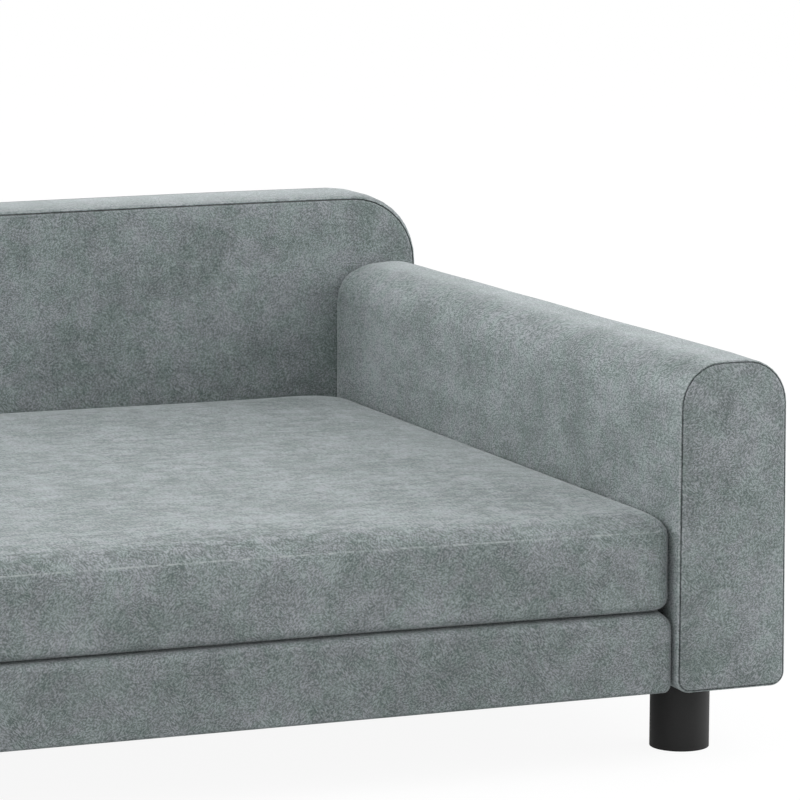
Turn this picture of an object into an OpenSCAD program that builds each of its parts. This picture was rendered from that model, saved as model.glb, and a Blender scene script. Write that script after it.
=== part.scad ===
// Low upholstered sofa bed for a dog: a back and two box arms round a seat base, with a loose
// zipped cushion on the base and four round legs screwed into the frame.
// X runs across the sofa, Y from its front to its rear, and Z up from the floor.
// The origin is on the floor, under the middle of the sofa.

/* [Overall] */
// Width over both arms
total_w = 1000; // [920:5:1100]
// Depth from the front of the arms to the rear of the back
total_d = 650; // [580:5:740]

/* [Arms] */
// Width of one arm
arm_w = 72; // [68:1:84]
// Height of an arm above the underside of the frame
arm_h = 205; // [185:1:225]
// Radius of an arm's two long upper edges
arm_top_r = 29; // [22:1:32]
// Radius of an arm's two long lower edges
arm_low_r = 12; // [10:0.5:12]
// Foam on the two long sides of an arm's box
arm_side_pad = 6; // [6:0.5:8]
// Foam over the top of an arm's box
arm_top_pad = 14; // [13:0.5:20]
// Foam in front of an arm's box
arm_front_pad = 5; // [3:0.5:10]

/* [Back] */
// Height of the back above the underside of the frame
back_h = 252; // [235:1:300]
// Thickness of the back
back_t = 72; // [66:1:90]
// How far each end of the back stops short of the arm's outer face
back_end_inset = 8; // [4:1:14]
// Radius of the back's two upper corners
back_corner_r = 63; // [45:1:70]
// Radius of the back's two lower corners
back_low_r = 12; // [10:0.5:12]
// Foam on the front of the back
back_front_pad = 12; // [8:0.5:16]
// Foam over the top and round the ends of the back
back_edge_pad = 10.5; // [8:0.5:14]
// Wadding on the rear of the back
back_rear_pad = 3; // [2:0.5:5]

/* [Seat base] */
// Height of the seat base
base_h = 52.5; // [46:0.5:64]
// How far the base's front stands behind the front of the arms
base_setback = 3.4; // [2:0.2:8]
// Radius of the base's two upper side edges
base_top_r = 9.5; // [7:0.5:11]
// Radius of the base's lower edges
base_low_r = 5; // [4:0.5:7]
// Radius of the base's two upright front corners
base_corner_r = 10; // [8:0.5:14]
// Radius of the base's long upper front edge
base_front_r = 5; // [4:0.5:7]
// Foam on the front of the base
base_front_pad = 10; // [8:0.5:14]
// Foam on the deck of the base
deck_pad = 6; // [5:0.5:9]
// Width of the hem that is turned in under the base
base_hem = 22; // [16:1:30]

/* [Cushion] */
// Height of the cushion at its edges
cushion_h = 54; // [48:1:70]
// Rise of the cushion's top from its edges to its middle
cushion_crown = 8; // [4:0.5:14]
// Distance from an edge over which the top rises
crown_reach = 80; // [50:5:100]
// How far the cushion's front stands behind the front of the arms
cushion_setback = 3.4; // [2:0.2:8]
// Space between the cushion's corners and the arms and back
cushion_gap = 0.6; // [0.4:0.1:2]
// Radius of the cushion's four upright corners
cushion_corner_r = 15; // [11:0.5:20]
// Radius of the cushion's edges round its top and bottom panels
cushion_edge_r = 9; // [7:0.5:10]
// How far the cushion's two ends and its front are drawn in between their corners
cushion_draw = 2; // [1:0.5:4]
// How far the cushion's rear is drawn in between its corners, at the zip
cushion_rear_draw = 6.5; // [6.5:0.5:10]
// Distance from a corner over which a side is drawn in
draw_reach = 110; // [80:5:130]
// Clearance between the foam core and its cover
core_gap = 0.3; // [0.1:0.1:0.6]

/* [Zip] */
// Width of the zip tape
zip_tape_w = 26; // [20:1:26]
// Thickness of the zip tape
zip_tape_t = 0.6; // [0.4:0.1:1]
// Width of the closed zip coil
zip_coil_w = 5.5; // [4:0.5:7]
// Thickness of the closed zip coil
zip_coil_t = 1.5; // [1:0.1:1.8]
// Length of a zip's end stop
zip_stop_l = 4; // [3:0.5:8]
// Length of the zip slider
slider_l = 12; // [9:0.5:15]
// Width of the zip slider
slider_w = 9.5; // [9:0.5:12]
// Thickness of the slider's front plate
slider_t = 1.2; // [0.8:0.1:1.4]
// Running clearance between the slider and the coil
slider_clear = 0.2; // [0.1:0.05:0.3]
// Length of the zip pull
pull_l = 16; // [12:1:18]
// Width of the zip pull
pull_w = 5; // [4:0.5:7]
// Thickness of the zip pull
pull_t = 0.8; // [0.6:0.1:1]

/* [Upholstery] */
// Thickness of the cover cloth
fabric_t = 1.5; // [1:0.1:2]
// Wadding under the arms and the back
low_pad = 2; // [2:0.5:3]
// Thickness of the dust cover under the base
dust_t = 0.6; // [0.4:0.1:1]
// How far the dust cover stops short of the base's edges
dust_inset = 12; // [8:1:14]

/* [Frame boards] */
// Thickness of the plywood boards of the arms and the back
board_t = 9; // [8:0.5:12]
// Thickness of an arm's top rail, bottom board and ribs
arm_rail_t = 15; // [15:0.5:18]
// Height of the back's bottom rail
back_low_rail_h = 30; // [26:1:36]
// Height of the back's top rail
back_top_rail_h = 25; // [20:1:32]
// Width of an upright in the back
upright_w = 18; // [15:1:25]
// Thickness of the base's rails
base_rail_t = 18; // [15:0.5:22]
// Thickness of the deck board
deck_t = 5; // [4:0.5:8]
// Number of slats under the deck board
slat_count = 3; // [3:2:5]
// Width of a slat
slat_w = 40; // [30:1:50]
// Thickness of a slat
slat_t = 12; // [10:0.5:14]

/* [Legs] */
// Height of a leg with its glide, from the floor to the frame
leg_h = 48; // [40:1:70]
// Radius of a leg
leg_r = 19; // [16:0.5:22]
// Bevel round a leg's two ends
leg_bevel = 0.8; // [0.4:0.1:1.5]
// Distance from an arm's inner face to the axis of its leg
leg_side_inset = 28; // [26:1:34]
// Distance from the front of the arms to the axis of a front leg
leg_front_inset = 55; // [45:1:80]
// Radius of the glide under a leg
glide_r = 15; // [12:0.5:15]
// Thickness of the glide
glide_t = 3; // [2:0.5:5]
// How far the glide stands out under the leg
glide_proud = 1; // [0.5:0.1:1.5]
// Radius of a leg's stud
stud_r = 4; // [3:0.5:5]
// Length of the stud inside the leg
stud_grip = 22; // [15:1:26]

/* [Bolts] */
// Radius of the bolts that join the arms and the back to the base
bolt_r = 3; // [2.5:0.5:4]
// Radius of a bolt's head
bolt_head_r = 5.5; // [5:0.5:7]
// Height of a bolt's head
bolt_head_h = 4; // [3:0.5:6]
// Radius of the socket in a bolt's head
socket_r = 2.3; // [1.5:0.1:2.5]
// Radius of a washer
washer_r = 9; // [8:0.5:10]
// Thickness of a washer
washer_t = 1.6; // [1:0.1:2.5]
// Wall of a threaded insert
insert_wall = 2; // [1.5:0.5:2.5]
// Length of a bolt's threaded insert
insert_l = 12; // [10:1:15]
// Clearance of a bolt or stud in its hole
hole_clear = 0.3; // [0.2:0.1:0.5]
// Clearance of a thread in its insert
thread_clear = 0.05; // [0.02:0.01:0.1]

/* [Hidden] */
SIDES = ["left", "right"];
ARM_PIECES = [
    "arm_inner_board", "arm_outer_board", "arm_bottom_board", "arm_top_rail", "arm_ribs",
    "arm_foam", "arm_boxing", "arm_front_panel", "arm_rear_panel"
];

$fn = 64;
// How far a cut runs past the face that it opens
overrun = 1;
// Clearance between the cushion and the base that it lies on
seat_clear = 0.3;

CLOTH = [0.45, 0.50, 0.50];
CLOTH_DARK = [0.38, 0.43, 0.43];
PLYWOOD = [0.79, 0.66, 0.47];
PINE = [0.86, 0.74, 0.55];
HARDBOARD = [0.50, 0.36, 0.24];
FOAM = [0.94, 0.91, 0.80];
WADDING = [0.95, 0.95, 0.95];
BLACK_PLASTIC = [0.11, 0.11, 0.11];
STEEL = [0.72, 0.73, 0.75];
FELT = [0.25, 0.22, 0.20];
DUST_CLOTH = [0.08, 0.08, 0.09];

half_w = total_w / 2;
front_y = -total_d / 2;
rear_y = total_d / 2;
back_y = rear_y - back_t;
arm_x = half_w - arm_w;

// The box inside an arm, from the arm's inner face and the underside of the frame
arm_box_x = fabric_t + arm_side_pad;
arm_box_w = arm_w - 2 * arm_box_x;
arm_box_z = fabric_t + low_pad;
arm_box_top = arm_h - fabric_t - arm_top_pad;
arm_box_front = front_y + fabric_t + arm_front_pad;
arm_box_rear = back_y - fabric_t;
arm_inside_x = arm_box_x + board_t;
arm_inside_w = arm_box_w - 2 * board_t;

// The box inside the back
back_half = half_w - back_end_inset;
back_box_inset = fabric_t + back_edge_pad;
back_box_half = back_half - back_box_inset;
back_box_z = fabric_t + low_pad;
back_box_top = back_h - back_box_inset;
back_box_r = back_corner_r - back_box_inset;
back_box_low_r = board_t / 3;
back_box_front = back_y + fabric_t + back_front_pad;
back_box_rear = rear_y - fabric_t - back_rear_pad;
back_core_front = back_box_front + board_t;
back_core_rear = back_box_rear - board_t;
upright_z = back_box_z + back_low_rail_h;
// Places of the two middle uprights, as shares of the back's half width
upright_shares = [-0.3, 0.3];

// The timber of the base
base_front = front_y + base_setback;
base_box_half = arm_x - base_low_r;
base_box_front = base_front + fabric_t + base_front_pad;
base_box_rear = back_y - fabric_t;
deck_top = base_h - fabric_t - deck_pad;
deck_z = deck_top - deck_t;
base_rail_h = deck_z - fabric_t;
base_inside_front = base_box_front + base_rail_t;
base_inside_rear = base_box_rear - base_rail_t;
base_inside_half = base_box_half - base_rail_t;
// Spread of the slats, as a share of the inside width of the base
slat_spread_share = 0.52;

// The legs' axes
leg_x = arm_x + leg_side_inset;
leg_front_y = front_y + leg_front_inset;
leg_rear_y = back_y + back_t / 2;
insert_r = stud_r + insert_wall;
bolt_insert_r = bolt_r + insert_wall;
stud_hole_r = stud_r + hole_clear;
bolt_hole_r = bolt_r + hole_clear;

// The bolts that hold the arms and the back to the base
arm_bolt_z = arm_box_z + arm_rail_t / 2;
arm_bolt_end = arm_x + arm_inside_x + insert_l;
// Places of the arm bolts, as shares of the depth of the base
arm_bolt_shares = [0.22, 0.8];
back_bolt_z = back_box_z + back_low_rail_h / 2;
back_bolt_end = back_core_front + insert_l;
// Places of the back bolts, as shares of the base's half width
back_bolt_shares = [-0.7, -0.25, 0.25, 0.7];

// The cushion
cushion_half_w = arm_x - cushion_gap;
cushion_front = front_y + cushion_setback;
cushion_rear = back_y - cushion_gap;
cushion_half_d = (cushion_rear - cushion_front) / 2;
cushion_y = (cushion_rear + cushion_front) / 2;
cushion_z = leg_h + base_h + seat_clear;
// How much the outline's corners open as the crown rises, as a share of the distance from the edge
corner_open_share = 0.3;
// Steps round a corner, and points along the flat stretch of a long and of a short side
corner_steps = 3;
long_stops = 5;
short_stops = 3;
// Angle on the rounded edges at which the panels are sewn to the boxing
seam_angle = 45;
// Places of the crown's rings, as shares of the distance over which the top rises
crown_shares = [0.4, 1];

// The zip, on the flat middle of the cushion's rear
zip_half = cushion_half_w - draw_reach;
zip_y = cushion_rear - cushion_rear_draw;
zip_z = cushion_z + cushion_h / 2;
slider_x = zip_half - zip_stop_l - slider_l / 2;
coil_y = zip_y + zip_tape_t;
slider_y = coil_y + zip_coil_t + slider_clear;
// The arched bail on the slider and the pull's eye
bail_l = slider_l / 2;
bail_t = 0.7;
bail_h = pull_t + 2 * slider_clear + bail_t;

// Outlines and runs

// A rectangle from the origin with one radius on its upper corners and one on its lower corners
module soft_panel(w, h, top_r, low_r) {
    translate([0, low_r]) square([w, h - low_r - top_r]);
    translate([low_r, 0]) square([w - 2 * low_r, h / 2]);
    translate([top_r, h / 2]) square([w - 2 * top_r, h / 2]);
    for (x = [low_r, w - low_r]) translate([x, low_r]) circle(r = low_r);
    for (x = [top_r, w - top_r]) translate([x, h - top_r]) circle(r = top_r);
}

// Runs an upright outline from one Y to another
module run_y(from_y, to_y) {
    translate([0, to_y, 0]) rotate([90, 0, 0]) linear_extrude(to_y - from_y) children();
}

// A block between two corners
module block(low, high) {
    translate(low) cube(high - low);
}

// Puts a right-hand piece on the named side
module on_side(side) {
    if (side == "left") mirror([1, 0, 0]) children();
    else children();
}

// Lifts a piece to the underside of the frame
module on_frame() {
    translate([0, 0, leg_h]) children();
}

// Hardware

// The four legs' places, in the order front left, front right, rear left, rear right
function leg_place(front, left) = [left ? -leg_x : leg_x, front ? leg_front_y : leg_rear_y, 0];

module at_legs() {
    for (front = [true, false]) for (left = [true, false]) translate(leg_place(front, left)) children();
}

// Upright holes through the frame's underside at the legs
module leg_holes(r, top) {
    at_legs() translate([0, 0, -overrun]) cylinder(r = r, h = top + overrun);
}

function arm_bolt_y(share) = base_box_front + share * (base_box_rear - base_box_front);

// Holes along X for the bolts of the right arm, from x0 to x1
module arm_bolt_holes(r, x0, x1) {
    for (share = arm_bolt_shares)
        translate([x0, arm_bolt_y(share), arm_bolt_z]) rotate([0, 90, 0]) cylinder(r = r, h = x1 - x0);
}

// Holes along Y for the bolts of the back, from y0 to y1
module back_bolt_holes(r, y0, y1) {
    for (share = back_bolt_shares)
        translate([share * base_box_half, y1, back_bolt_z]) rotate([90, 0, 0]) cylinder(r = r, h = y1 - y0);
}

// Every clearance hole of the bolts through the cloth and foam between base and arms and back
module soft_bolt_holes() {
    for (side = SIDES) on_side(side) arm_bolt_holes(bolt_hole_r, base_inside_half, arm_x + arm_inside_x);
    back_bolt_holes(bolt_hole_r, base_inside_rear, back_core_front);
}

// Arms, each drawn as the right-hand one

module arm_outline(inset) {
    translate([arm_x + inset, inset])
        soft_panel(arm_w - 2 * inset, arm_h - 2 * inset, arm_top_r - inset, arm_low_r - inset);
}

// A board of an arm, placed from the arm's inner face
module arm_block(x0, x1, y0, y1, z0, z1) {
    block([arm_x + x0, y0, z0], [arm_x + x1, y1, z1]);
}

module arm_inner_board(side) {
    color(PLYWOOD) on_side(side) on_frame() difference() {
        arm_block(arm_box_x, arm_inside_x, arm_box_front, arm_box_rear, arm_box_z, arm_box_top);
        arm_bolt_holes(bolt_hole_r, arm_x, arm_x + arm_inside_x + overrun);
    }
}

module arm_outer_board(side) {
    color(PLYWOOD) on_side(side) on_frame()
        arm_block(arm_inside_x + arm_inside_w, arm_box_x + arm_box_w,
                  arm_box_front, arm_box_rear, arm_box_z, arm_box_top);
}

module arm_bottom_board(side) {
    color(PINE) on_side(side) on_frame() difference() {
        arm_block(arm_inside_x, arm_inside_x + arm_inside_w,
                  arm_box_front, arm_box_rear, arm_box_z, arm_box_z + arm_rail_t);
        leg_holes(insert_r, arm_box_z + arm_rail_t + overrun);
        arm_bolt_holes(bolt_insert_r, arm_x + arm_box_x, arm_bolt_end);
    }
}

module arm_top_rail(side) {
    color(PINE) on_side(side) on_frame()
        arm_block(arm_inside_x, arm_inside_x + arm_inside_w,
                  arm_box_front, arm_box_rear, arm_box_top - arm_rail_t, arm_box_top);
}

// Three cross ribs between the two boards: at the front, in the middle and at the rear
module arm_ribs(side) {
    rib_run = arm_box_rear - arm_box_front - arm_rail_t;
    color(PINE) on_side(side) on_frame()
        for (share = [0, 0.5, 1])
            translate([0, arm_box_front + share * rib_run, 0])
                arm_block(arm_inside_x, arm_inside_x + arm_inside_w, 0, arm_rail_t,
                          arm_box_z + arm_rail_t, arm_box_top - arm_rail_t);
}

module arm_foam(side) {
    color(FOAM) on_side(side) on_frame() difference() {
        run_y(front_y + fabric_t, arm_box_rear) arm_outline(fabric_t);
        arm_block(arm_box_x, arm_box_x + arm_box_w,
                  arm_box_front, arm_box_rear + overrun, arm_box_z, arm_box_top);
        leg_holes(stud_hole_r, arm_box_z + overrun);
        arm_bolt_holes(bolt_hole_r, arm_x, arm_x + arm_inside_x);
    }
}

// The strip of cloth round an arm's long sides
module arm_boxing(side) {
    color(CLOTH) on_side(side) on_frame() difference() {
        run_y(front_y, back_y) arm_outline(0);
        run_y(front_y - overrun, back_y + overrun) arm_outline(fabric_t);
        leg_holes(stud_hole_r, fabric_t + overrun);
        arm_bolt_holes(bolt_hole_r, base_inside_half, arm_x + arm_inside_x);
    }
}

module arm_front_panel(side) {
    color(CLOTH_DARK) on_side(side) on_frame() run_y(front_y, front_y + fabric_t) arm_outline(fabric_t);
}

module arm_rear_panel(side) {
    color(CLOTH_DARK) on_side(side) on_frame() run_y(arm_box_rear, back_y) arm_outline(fabric_t);
}

// Back

module back_outline(inset) {
    translate([inset - back_half, inset])
        soft_panel(2 * (back_half - inset), back_h - 2 * inset, back_corner_r - inset, back_low_r - inset);
}

module back_box_outline() {
    translate([-back_box_half, back_box_z])
        soft_panel(2 * back_box_half, back_box_top - back_box_z, back_box_r, back_box_low_r);
}

module back_front_board() {
    color(PLYWOOD) on_frame() difference() {
        run_y(back_box_front, back_core_front) back_box_outline();
        back_bolt_holes(bolt_hole_r, back_y, back_core_front + overrun);
    }
}

module back_rear_board() {
    color(PLYWOOD) on_frame() run_y(back_core_rear, back_box_rear) back_box_outline();
}

module back_bottom_rail() {
    color(PINE) on_frame() difference() {
        intersection() {
            run_y(back_core_front, back_core_rear) back_box_outline();
            block([-back_half, back_y, 0], [back_half, rear_y, upright_z]);
        }
        leg_holes(insert_r, arm_box_z + arm_rail_t);
        back_bolt_holes(bolt_insert_r, back_box_front, back_bolt_end);
    }
}

module back_top_rail() {
    top_half = back_box_half - back_box_r;
    color(PINE) on_frame()
        block([-top_half, back_core_front, back_box_top - back_top_rail_h],
              [top_half, back_core_rear, back_box_top]);
}

// An upright between the back's two boards, with its middle at x
module upright(x, top) {
    translate([x, 0, 0])
        block([-upright_w / 2, back_core_front, upright_z], [upright_w / 2, back_core_rear, top]);
}

module back_uprights() {
    end_x = back_box_half - upright_w / 2;
    color(PINE) on_frame() {
        for (x = [-end_x, end_x]) upright(x, back_box_top - back_box_r);
        for (share = upright_shares) upright(share * back_box_half, back_box_top - back_top_rail_h);
    }
}

module back_front_foam() {
    color(FOAM) on_frame() difference() {
        run_y(back_y + fabric_t, back_box_front) back_outline(fabric_t);
        back_bolt_holes(bolt_hole_r, back_y, back_core_front);
    }
}

module back_edge_foam() {
    color(FOAM) on_frame() difference() {
        run_y(back_box_front, back_box_rear) back_outline(fabric_t);
        run_y(back_box_front - overrun, back_box_rear + overrun) back_box_outline();
        leg_holes(stud_hole_r, back_box_z + overrun);
    }
}

module back_rear_wadding() {
    color(WADDING) on_frame() run_y(back_box_rear, rear_y - fabric_t) back_outline(fabric_t);
}

// The strip of cloth over the top of the back and round its ends
module back_boxing() {
    color(CLOTH) on_frame() difference() {
        run_y(back_y, rear_y) back_outline(0);
        run_y(back_y - overrun, rear_y + overrun) back_outline(fabric_t);
        leg_holes(stud_hole_r, fabric_t + overrun);
    }
}

module back_front_panel() {
    color(CLOTH_DARK) on_frame() difference() {
        run_y(back_y, back_y + fabric_t) back_outline(fabric_t);
        back_bolt_holes(bolt_hole_r, base_inside_rear, back_core_front);
    }
}

module back_rear_panel() {
    color(CLOTH_DARK) on_frame() run_y(rear_y - fabric_t, rear_y) back_outline(fabric_t);
}

// Seat base

// The base seen from above, with its rounded front corners
module base_plan(inset) {
    r = base_corner_r - inset;
    half = arm_x - inset;
    front = base_front + inset;
    rear = back_y - inset;
    translate([-half, front + r]) square([2 * half, rear - front - r]);
    translate([r - half, front]) square([2 * (half - r), 2 * r]);
    for (x = [r - half, half - r]) translate([x, front + r]) circle(r = r);
}

// The base seen from its side, with its front edges rounded
module base_side_outline(inset) {
    r = base_front_r - inset;
    h = base_h - 2 * inset;
    depth = back_y - base_front - 2 * inset;
    translate([base_front + inset, inset]) {
        translate([r, 0]) square([depth - r, h]);
        translate([0, r]) square([2 * r, h - 2 * r]);
        for (z = [r, h - r]) translate([r, z]) circle(r = r);
    }
}

module base_body(inset) {
    half = arm_x - inset;
    intersection() {
        linear_extrude(base_h) base_plan(inset);
        run_y(base_front, back_y)
            translate([-half, inset])
                soft_panel(2 * half, base_h - 2 * inset, base_top_r - inset, base_low_r - inset);
        translate([-arm_x, 0, 0]) rotate([90, 0, 90]) linear_extrude(2 * arm_x) base_side_outline(inset);
    }
}

module base_front_rail() {
    color(PINE) on_frame()
        block([-base_box_half, base_box_front, fabric_t], [base_box_half, base_inside_front, deck_z]);
}

module base_rear_rail() {
    color(PINE) on_frame() difference() {
        block([-base_box_half, base_inside_rear, fabric_t], [base_box_half, base_box_rear, deck_z]);
        back_bolt_holes(bolt_hole_r, base_inside_rear - overrun, back_y);
    }
}

module base_rail(side) {
    color(PINE) on_side(side) on_frame() difference() {
        block([base_inside_half, base_inside_front, fabric_t], [base_box_half, base_inside_rear, deck_z]);
        arm_bolt_holes(bolt_hole_r, base_inside_half - overrun, arm_x);
    }
}

module base_slats() {
    spread = slat_spread_share * base_inside_half;
    color(PINE) on_frame()
        for (i = [0 : slat_count - 1])
            translate([spread * (2 * i / (slat_count - 1) - 1), 0, 0])
                block([-slat_w / 2, base_inside_front, deck_z - slat_t], [slat_w / 2, base_inside_rear, deck_z]);
}

module deck_board() {
    color(HARDBOARD) on_frame()
        block([-base_box_half, base_box_front, deck_z], [base_box_half, base_box_rear, deck_top]);
}

// Foam over the deck, down the front and in the two sides of the base
module base_foam() {
    color(FOAM) on_frame() difference() {
        base_body(fabric_t);
        block([-base_box_half, base_box_front, -overrun], [base_box_half, back_y, deck_top]);
        soft_bolt_holes();
    }
}

// The cloth over the whole base, with its hem turned in underneath
module base_cover() {
    color(CLOTH) on_frame() difference() {
        base_body(0);
        base_body(fabric_t);
        block([base_hem - arm_x, base_front + base_hem, -overrun],
              [arm_x - base_hem, back_y - base_hem, fabric_t + overrun]);
        soft_bolt_holes();
    }
}

module dust_cover() {
    color(DUST_CLOTH) on_frame()
        block([dust_inset - arm_x, base_front + dust_inset, -dust_t],
              [arm_x - dust_inset, back_y - dust_inset, 0]);
}

// Legs

module leg(front, left) {
    bore_z = leg_h - stud_grip;
    color(BLACK_PLASTIC) translate(leg_place(front, left)) difference() {
        rotate_extrude() polygon([
            [0, glide_proud], [leg_r - leg_bevel, glide_proud], [leg_r, glide_proud + leg_bevel],
            [leg_r, leg_h - leg_bevel], [leg_r - leg_bevel, leg_h], [0, leg_h]
        ]);
        translate([0, 0, bore_z]) cylinder(r = stud_r + thread_clear, h = stud_grip + overrun);
        cylinder(r = glide_r + hole_clear, h = glide_t);
    }
}

module leg_studs() {
    color(STEEL) at_legs() translate([0, 0, leg_h - stud_grip])
        cylinder(r = stud_r, h = stud_grip + arm_box_z + arm_rail_t - thread_clear);
}

// Threaded inserts in the arms' bottom boards and the back's bottom rail
module leg_inserts() {
    color(STEEL) on_frame() at_legs() translate([0, 0, arm_box_z]) difference() {
        cylinder(r = insert_r, h = arm_rail_t);
        translate([0, 0, -overrun]) cylinder(r = stud_r + thread_clear, h = arm_rail_t + 2 * overrun);
    }
}

module leg_glides() {
    color(FELT) at_legs() cylinder(r = glide_r, h = glide_t);
}

// Bolts. Each is drawn along +Z, with the underside of its head at the origin

module bolt(l) {
    cylinder(r = bolt_r, h = l);
    translate([0, 0, -bolt_head_h]) difference() {
        cylinder(r = bolt_head_r, h = bolt_head_h);
        translate([0, 0, -overrun]) cylinder(r = socket_r, h = bolt_head_h / 2 + overrun, $fn = 6);
    }
}

module washer() {
    difference() {
        cylinder(r = washer_r, h = washer_t);
        translate([0, 0, -overrun]) cylinder(r = bolt_hole_r, h = washer_t + 2 * overrun);
    }
}

module threaded_insert() {
    difference() {
        cylinder(r = bolt_insert_r, h = insert_l);
        translate([0, 0, -overrun]) cylinder(r = bolt_r + thread_clear, h = insert_l + 2 * overrun);
    }
}

// Puts a piece on every arm bolt's axis, at x from the middle of the sofa
module at_arm_bolts(x) {
    for (side = SIDES) on_side(side) for (share = arm_bolt_shares)
        translate([x, arm_bolt_y(share), arm_bolt_z]) rotate([0, 90, 0]) children();
}

// Puts a piece on every back bolt's axis, at y
module at_back_bolts(y) {
    for (share = back_bolt_shares)
        translate([share * base_box_half, y, back_bolt_z]) rotate([-90, 0, 0]) children();
}

module frame_bolts() {
    arm_seat = base_inside_half - washer_t;
    back_seat = base_inside_rear - washer_t;
    color(STEEL) on_frame() {
        at_arm_bolts(arm_seat) bolt(arm_bolt_end - arm_seat - thread_clear);
        at_back_bolts(back_seat) bolt(back_bolt_end - back_seat - thread_clear);
    }
}

module bolt_washers() {
    color(STEEL) on_frame() {
        at_arm_bolts(base_inside_half - washer_t) washer();
        at_back_bolts(base_inside_rear - washer_t) washer();
    }
}

module bolt_inserts() {
    color(STEEL) on_frame() {
        at_arm_bolts(arm_x + arm_inside_x) threaded_insert();
        at_back_bolts(back_core_front) threaded_insert();
    }
}

// Cushion. Its skins are stacks of closed rings, each a list of points in the same order

// Smooth step from 0 to 1
function ease(t) = let (c = max(0, min(1, t))) c * c * (3 - 2 * c);

// Places of a side's points, as shares of half of its straight length between the corners
function stop_shares(half, inner) =
    let (straight = half - cushion_corner_r)
    let (flat = (half - draw_reach) / straight, ramp = (half - draw_reach / 2) / straight)
    concat([ramp], [for (k = [0 : inner - 1]) flat * (1 - 2 * k / (inner - 1))], [-ramp]);
long_shares = stop_shares(cushion_half_w, long_stops);
short_shares = stop_shares(cushion_half_d, short_stops);

// One rounded corner of a ring, starting at an angle
function ring_corner(x, y, r, start) =
    [for (k = [0 : corner_steps]) let (a = start + 90 * k / corner_steps) [x + r * cos(a), y + r * sin(a)]];

// A rounded rectangle with points along its sides, counted anticlockwise from its right side
function ring_outline(hx, hy, r) = concat(
    ring_corner(hx - r, hy - r, r, 0),
    [for (s = long_shares) [s * (hx - r), hy]],
    ring_corner(r - hx, hy - r, r, 90),
    [for (s = short_shares) [-hx, s * (hy - r)]],
    ring_corner(r - hx, r - hy, r, 180),
    [for (s = long_shares) [-s * (hx - r), -hy]],
    ring_corner(hx - r, r - hy, r, 270),
    [for (s = short_shares) [hx, -s * (hy - r)]]
);

// How far a point is drawn in towards the middle, by its place along its side
function drawn(along, half, depth) = depth * ease((1 - abs(along) / half) * half / draw_reach);

// A ring at a distance in from the cushion's edge, inside a skin of a thickness, at a height
function ring(inset, skin, z) =
    let (hx = cushion_half_w - inset - skin, hy = cushion_half_d - inset - skin)
    let (r = cushion_corner_r - skin + corner_open_share * inset)
    let (fade = 1 - ease((inset - cushion_edge_r) / crown_reach))
    [for (p = ring_outline(hx, hy, r))
        let (depth_y = p[1] > 0 ? cushion_rear_draw : cushion_draw)
        let (in_x = fade * drawn(p[1], hy, cushion_draw) * pow(abs(p[0]) / hx, 6))
        let (in_y = fade * drawn(p[0], hx, depth_y) * pow(abs(p[1]) / hy, 6))
        [p[0] - sign(p[0]) * in_x, cushion_y + p[1] - sign(p[1]) * in_y, cushion_z + z]];

// A ring on the rounded lower or upper edge, at an angle from the flat panel
function edge_rise(a, skin) = skin + (cushion_edge_r - skin) * (1 - cos(a));
function edge_ring_inset(a, skin) = (cushion_edge_r - skin) * (1 - sin(a));
function low_ring(a, skin) = ring(edge_ring_inset(a, skin), skin, edge_rise(a, skin));
function top_ring(a, skin) = ring(edge_ring_inset(a, skin), skin, cushion_h - edge_rise(a, skin));

// A ring on the crowned top, at a share of the distance over which the top rises
function crown_ring(share, skin) = ring(cushion_edge_r - skin + share * crown_reach, skin,
    cushion_h - skin + cushion_crown * (1 - pow(1 - share, 2)));

function low_skin(skin) = [for (a = [0, seam_angle]) low_ring(a, skin)];
function side_skin(skin) = concat(
    [for (a = [seam_angle, 90]) low_ring(a, skin)],
    [for (a = [90, seam_angle]) top_ring(a, skin)]
);
function top_skin(skin) = concat(
    [top_ring(seam_angle, skin), top_ring(0, skin)],
    [for (share = crown_shares) crown_ring(share, skin)]
);
function reversed(list) = [for (i = [len(list) - 1 : -1 : 0]) list[i]];
function middle(ring) = [0, cushion_y, ring[0][2]];

// Two triangles for each step along a band between rings a and b of n points each
function band(a, b, n) = [for (i = [0 : n - 1]) let (k = (i + 1) % n)
    each [[a * n + i, b * n + k, a * n + k], [a * n + i, b * n + i, b * n + k]]];

// A closed solid from rings that start and end at a flat middle
module stack(rings) {
    n = len(rings[0]);
    last = len(rings) - 1;
    points = concat([for (ring = rings) each ring], [middle(rings[0]), middle(rings[last])]);
    low_cap = [for (i = [0 : n - 1]) [(last + 1) * n, i, (i + 1) % n]];
    top_cap = [for (i = [0 : n - 1]) [(last + 1) * n + 1, last * n + (i + 1) % n, last * n + i]];
    bands = [for (j = [0 : last - 1]) each band(j, j + 1, n)];
    polyhedron(points = points, faces = concat(low_cap, top_cap, bands));
}

// A closed tube from rings that come round to the first
module hoop(rings) {
    n = len(rings[0]);
    count = len(rings);
    bands = [for (j = [0 : count - 1]) each band(j, (j + 1) % count, n)];
    polyhedron(points = [for (ring = rings) each ring], faces = bands);
}

module cushion_top_panel() {
    color(CLOTH) stack(concat(reversed(top_skin(fabric_t)), top_skin(0)));
}

module cushion_boxing() {
    color(CLOTH_DARK) hoop(concat(side_skin(0), reversed(side_skin(fabric_t))));
}

module cushion_bottom_panel() {
    color(CLOTH) stack(concat(low_skin(0), reversed(low_skin(fabric_t))));
}

module cushion_foam_core() {
    skin = fabric_t + core_gap;
    color(FOAM) stack(concat(
        [for (a = [0, seam_angle, 90]) low_ring(a, skin)],
        [for (a = [90, seam_angle, 0]) top_ring(a, skin)],
        [for (share = crown_shares) crown_ring(share, skin)]
    ));
}

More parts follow.
